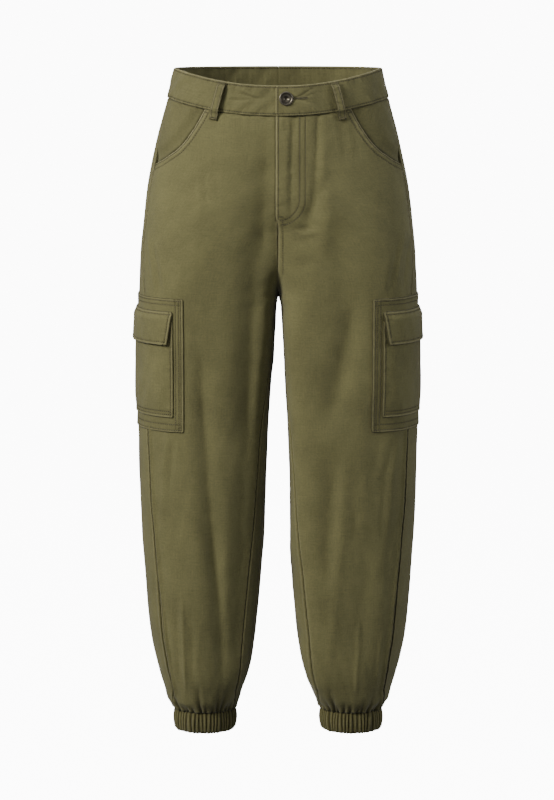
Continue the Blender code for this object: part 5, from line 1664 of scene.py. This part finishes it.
def modelStitch():      # an oval bead of thread, 1 long and 1 thick
    bpy.ops.object.select_all(action="DESELECT")
    bpy.ops.mesh.primitive_uv_sphere_add(segments=6, ring_count=5, radius=0.5, rotation=(0, math.pi / 2, 0))
    bead = bpy.context.object
    bpy.ops.object.transform_apply(rotation=True)
    points = np.array([vertex.co[:] for vertex in bead.data.vertices])
    faces = [list(face.vertices) for face in bead.data.polygons]
    bpy.data.objects.remove(bead)
    return points, faces


stitchPoints, stitchFaces = modelStitch()
sewn = {}               # beads of each thread: middle, along, across, up, darkness


def sew(thread, sheet, heights, angles, kind=None, crosswise=False):
    sizes = {**stitchSizes, **closeStitches.get(kind, {})}
    points, normals = onSheet(sheet, np.asarray(heights, float), np.asarray(angles, float))
    length = np.append(0, np.cumsum(np.linalg.norm(np.diff(points, axis=0), axis=1)))
    count = max(1, round(length[-1] / sizes["pitch"]))
    at = (np.arange(count) + 0.5) * length[-1] / count

    def placeAt(where, values):
        return np.stack([np.interp(where, length, values[:, k]) for k in range(3)], 1)

    middle = placeAt(at, points)
    reach = min(sizes["long"], sizes["pitch"]) / 2
    along = placeAt(at + reach, points) - placeAt(at - reach, points)
    along /= np.maximum(np.linalg.norm(along, axis=1), 1e-9)[:, None]
    across = np.cross(placeAt(at, normals), along)
    across /= np.maximum(np.linalg.norm(across, axis=1), 1e-9)[:, None]
    up = np.cross(along, across)
    if crosswise:
        along, across = across, -along
    sewn.setdefault(thread, []).append((
        middle + up * sizes["above"], along * sizes["long"], across * sizes["thick"],
        up * sizes["thick"] * sizes["flat"], np.full(count, sizes["dark"])))


def tack(thread, sheet, height, angle, length, down=0.0):       # a bar of close stitches
    share = np.linspace(-0.5, 0.5, 16)
    turn = float(perMetre(sheets[sheet][0], np.array([height]), np.array([angle]))[0])
    heights = height - share * length * math.sin(down)
    sew(thread, sheet, heights, angle + share * length * math.cos(down) * turn, "tack", True)


def sewBand(word, side):
    name = "waistband_" + word
    half = float(shapeAt(form["waistSeam"])[1])
    last = math.pi / 2 + ((bandSizes["endLeft"] - bandSizes["endRow"]) / half if side > 0 else 0)
    turns = np.linspace(-math.pi / 2 + 0.004, last, 1200)
    inside = turns[turns < 1.1]         # in front, the inside of the band is out of sight
    for height in bandSizes["stitchRows"]:
        sew("band_thread", name, np.full(1200, height), turns)
        sew("inside_thread", "inside_" + name, np.full(len(inside), height), inside)
    if side > 0:
        sew("band_thread", name, np.linspace(*bandSizes["stitchRows"], 90), np.full(90, last))


def sewButtonhole():        # close stitches on both sides of a slit
    name, height = "waistband_left", buttonhole["height"]
    near, far = [angleFromCentre(height, buttonhole[end]) for end in ("near", "far")]
    turns = np.linspace(near, far, 60)
    for rise in (buttonhole["rise"], -buttonhole["rise"]):
        sew("band_thread", name, np.full(60, height + rise), turns, "hole", True)
    sew("band_thread", name, np.linspace(*buttonhole["end"], 12), np.full(12, far), "holeEnd", True)
    # the slit itself, a strip painted dark as shade in the opening
    sew("band_thread", name, np.full(60, height), turns, "slit")


def sewFly():
    for row in flyLines():
        sew("fly_thread", "front_left", *row)
    for height, fromCentre, length in flySizes["tacks"]:
        tack("fly_thread", "front_left", height, float(angleFromCentre(height, fromCentre)), length)


def sewMouth(word, side):
    name = "front_" + word
    for row in mouthLines(side):
        sew("mouth_thread", name, *row)
    heights, angles = outseamLine(side)
    upper, lower = outseamRow["pocketGap"]
    for top, bottom in ((outseamRow["top"], upper), (lower, outseamRow["end"])):
        row = np.flatnonzero((heights < top) & (heights > bottom))
        sew("outseam_thread", name, heights[row], angles[row])
    low, high = mouthEnd - mouthTacks["under"], form["waistSeam"] - mouthTacks["fromWaist"]
    inward, long = mouthTacks["inward"], mouthTacks["long"]
    tack("mouth_thread", name, low, float(outseamAngle(low)) + inward, long, math.pi / 2)
    tack("mouth_thread", name, high, float(mouthAngle(high)) + inward, long)


def sewSeat():      # a lapped centre back seam with two rows
    heights = np.linspace(seatSizes["top"], seatSizes["end"], 400)
    for away in seatSizes["rows"]:
        sew("seat_thread", "back_left", heights, besideSeam(1, -1, heights, away))


def sewLoop(name, side, angle):
    heights = sheets[name][1]
    turn = perMetre(side, heights, loopAngle(angle, heights))
    for sign in (-1, 1):
        off = sign * (loopSizes["width"] / 2 - loopSizes["stitchRow"])
        sew("loop_thread", name, heights[2:-2], (loopAngle(angle, heights) + off * turn)[2:-2], "loop")
    fromTop, fromEnd, length = loopSizes["tacks"]
    for height in (heights[0] - fromTop, heights[-1] + fromEnd):
        tack("loop_thread", name, height, float(loopAngle(angle, height)), length)


def sewCargo(kind, node, side):
    rows = cargoSizes[kind + "Rows"]
    top, bottom = cargoSizes[kind + "Top"], cargoSizes[kind + "End"]
    first, last = min(rows["top"] or (0.004,)), min(rows["bottom"])
    innermost = max(rows["side"])
    for away in rows["side"]:
        upper = top - (max(rows["top"]) if rows["top"] and away == innermost else first)
        lower = bottom + (max(rows["bottom"]) if away == innermost and kind == "backing" else last)
        heights = np.linspace(upper, lower, 260)
        back, front = cargoEdges(kind, side, heights)
        for edge, sign in ((back, 1), (front, -1)):
            sew("cargo_thread", node, heights, edge + sign * away * perMetre(side, heights, edge))
    for level in [top - away for away in rows["top"]] + [bottom + away for away in rows["bottom"]]:
        ends = cargoEdges(kind, side, np.array([level]))
        outermost = level in (top - first, bottom + last) or kind != "backing"
        inset = min(rows["side"]) if outermost else innermost
        turn = perMetre(side, np.array([level]), ends[0])[0]
        turns = np.linspace(ends[0][0] + inset * turn, ends[1][0] - inset * turn, 300)
        sew("cargo_thread", node, np.full(300, level), turns)


def joinThread(name, beads):
    middle, along, across, up, dark = [np.concatenate(parts) for parts in zip(*beads)]
    points = (middle[:, None] + stitchPoints[:, 0, None] * along[:, None]
              + stitchPoints[:, 1, None] * across[:, None] + stitchPoints[:, 2, None] * up[:, None])
    size = len(stitchPoints)
    faces = [[v + i * size for v in face] for i in range(len(middle)) for face in stitchFaces]
    # painted shade on the ends and flanks of a stitch, where they sink into the cloth
    ends, flanks = [np.clip((np.abs(stitchPoints[:, k]) - start) / wide, 0, 1)
                    for k, (start, wide) in enumerate((sunkShade["ends"], sunkShade["flanks"]))]
    shade = np.maximum(np.maximum(ends, flanks)[None], dark[:, None])
    piece = addPiece(name, points.reshape(-1, 3).tolist(), faces, None, {"shade": shade.ravel()},
                     threadMaterial)


for word, side in sides.items():
    sewBand(word, side)
    sewMouth(word, side)
    for kind, node, *_ in cargoPieces:
        sewCargo(kind, node + word, side)
sewButtonhole()
sewFly()
sewSeat()
for name, side, angle in loops:
    sewLoop(name, side, angle)
for name, beads in sewn.items():
    joinThread(name, beads)
print("stitches sewn:", sum(len(part[0]) for beads in sewn.values() for part in beads))

# button: a pressed cap, modelled from a disc that is drawn out ring by ring

buttonSizes = {
    "fromCentre": 0.0110,
    "height": 0.0002,
    "gap": 0.0001,
    "segments": 72,
    "sharpest": math.radians(50),
    "rings": [(0.0060, 0.0), (0.0092, 0.0003), (0.0099, 0.0009), (0.01005, 0.0016), (0.0099, 0.0023),
              (0.0094, 0.0028), (0.0088, 0.0030), (0.0081, 0.0029), (0.0075, 0.0025), (0.0070, 0.0021),
              (0.0056, 0.0020), (0.0045, 0.0020), (0.0039, 0.0018), (0.0034, 0.0014), (0.0025, 0.0012),
              (0.0020, 0.0004), (0.0012, 0.0001)],      # radius and height of each
}


def makeButton():
    rings = buttonSizes["rings"]
    bpy.ops.object.select_all(action="DESELECT")
    bpy.ops.mesh.primitive_circle_add(vertices=buttonSizes["segments"], radius=rings[0][0], fill_type="NGON")
    piece = bpy.context.object
    bpy.ops.object.mode_set(mode="EDIT")
    bpy.ops.mesh.select_all(action="SELECT")
    for (before, low), (after, high) in zip(rings, rings[1:]):
        bpy.ops.mesh.extrude_region_move(TRANSFORM_OT_translate={"value": (0, 0, high - low)})
        bpy.ops.transform.resize(value=(after / before, after / before, 1), center_override=(0, 0, 0))
    bpy.ops.object.mode_set(mode="OBJECT")
    bpy.ops.object.shade_smooth_by_angle(angle=buttonSizes["sharpest"])
    angle = float(angleFromCentre(buttonSizes["height"], buttonSizes["fromCentre"]))
    places, normals = onSheet("waistband_left", np.full(2, buttonSizes["height"]), np.full(2, angle))
    out = Vector(normals[0])
    across = Vector((0, 0, 1)).cross(out).normalized()
    up = out.cross(across)
    seat = Vector(places[0]) + out * buttonSizes["gap"]
    for vertex in piece.data.vertices:
        x, y, z = vertex.co
        vertex.co = seat + across * x + up * y + out * z
    piece.name = "waist_button"
    piece.data.materials.clear()
    piece.data.materials.append(metalMaterial)
    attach(piece, "root")
    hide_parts("button")


makeButton()
print("button made")
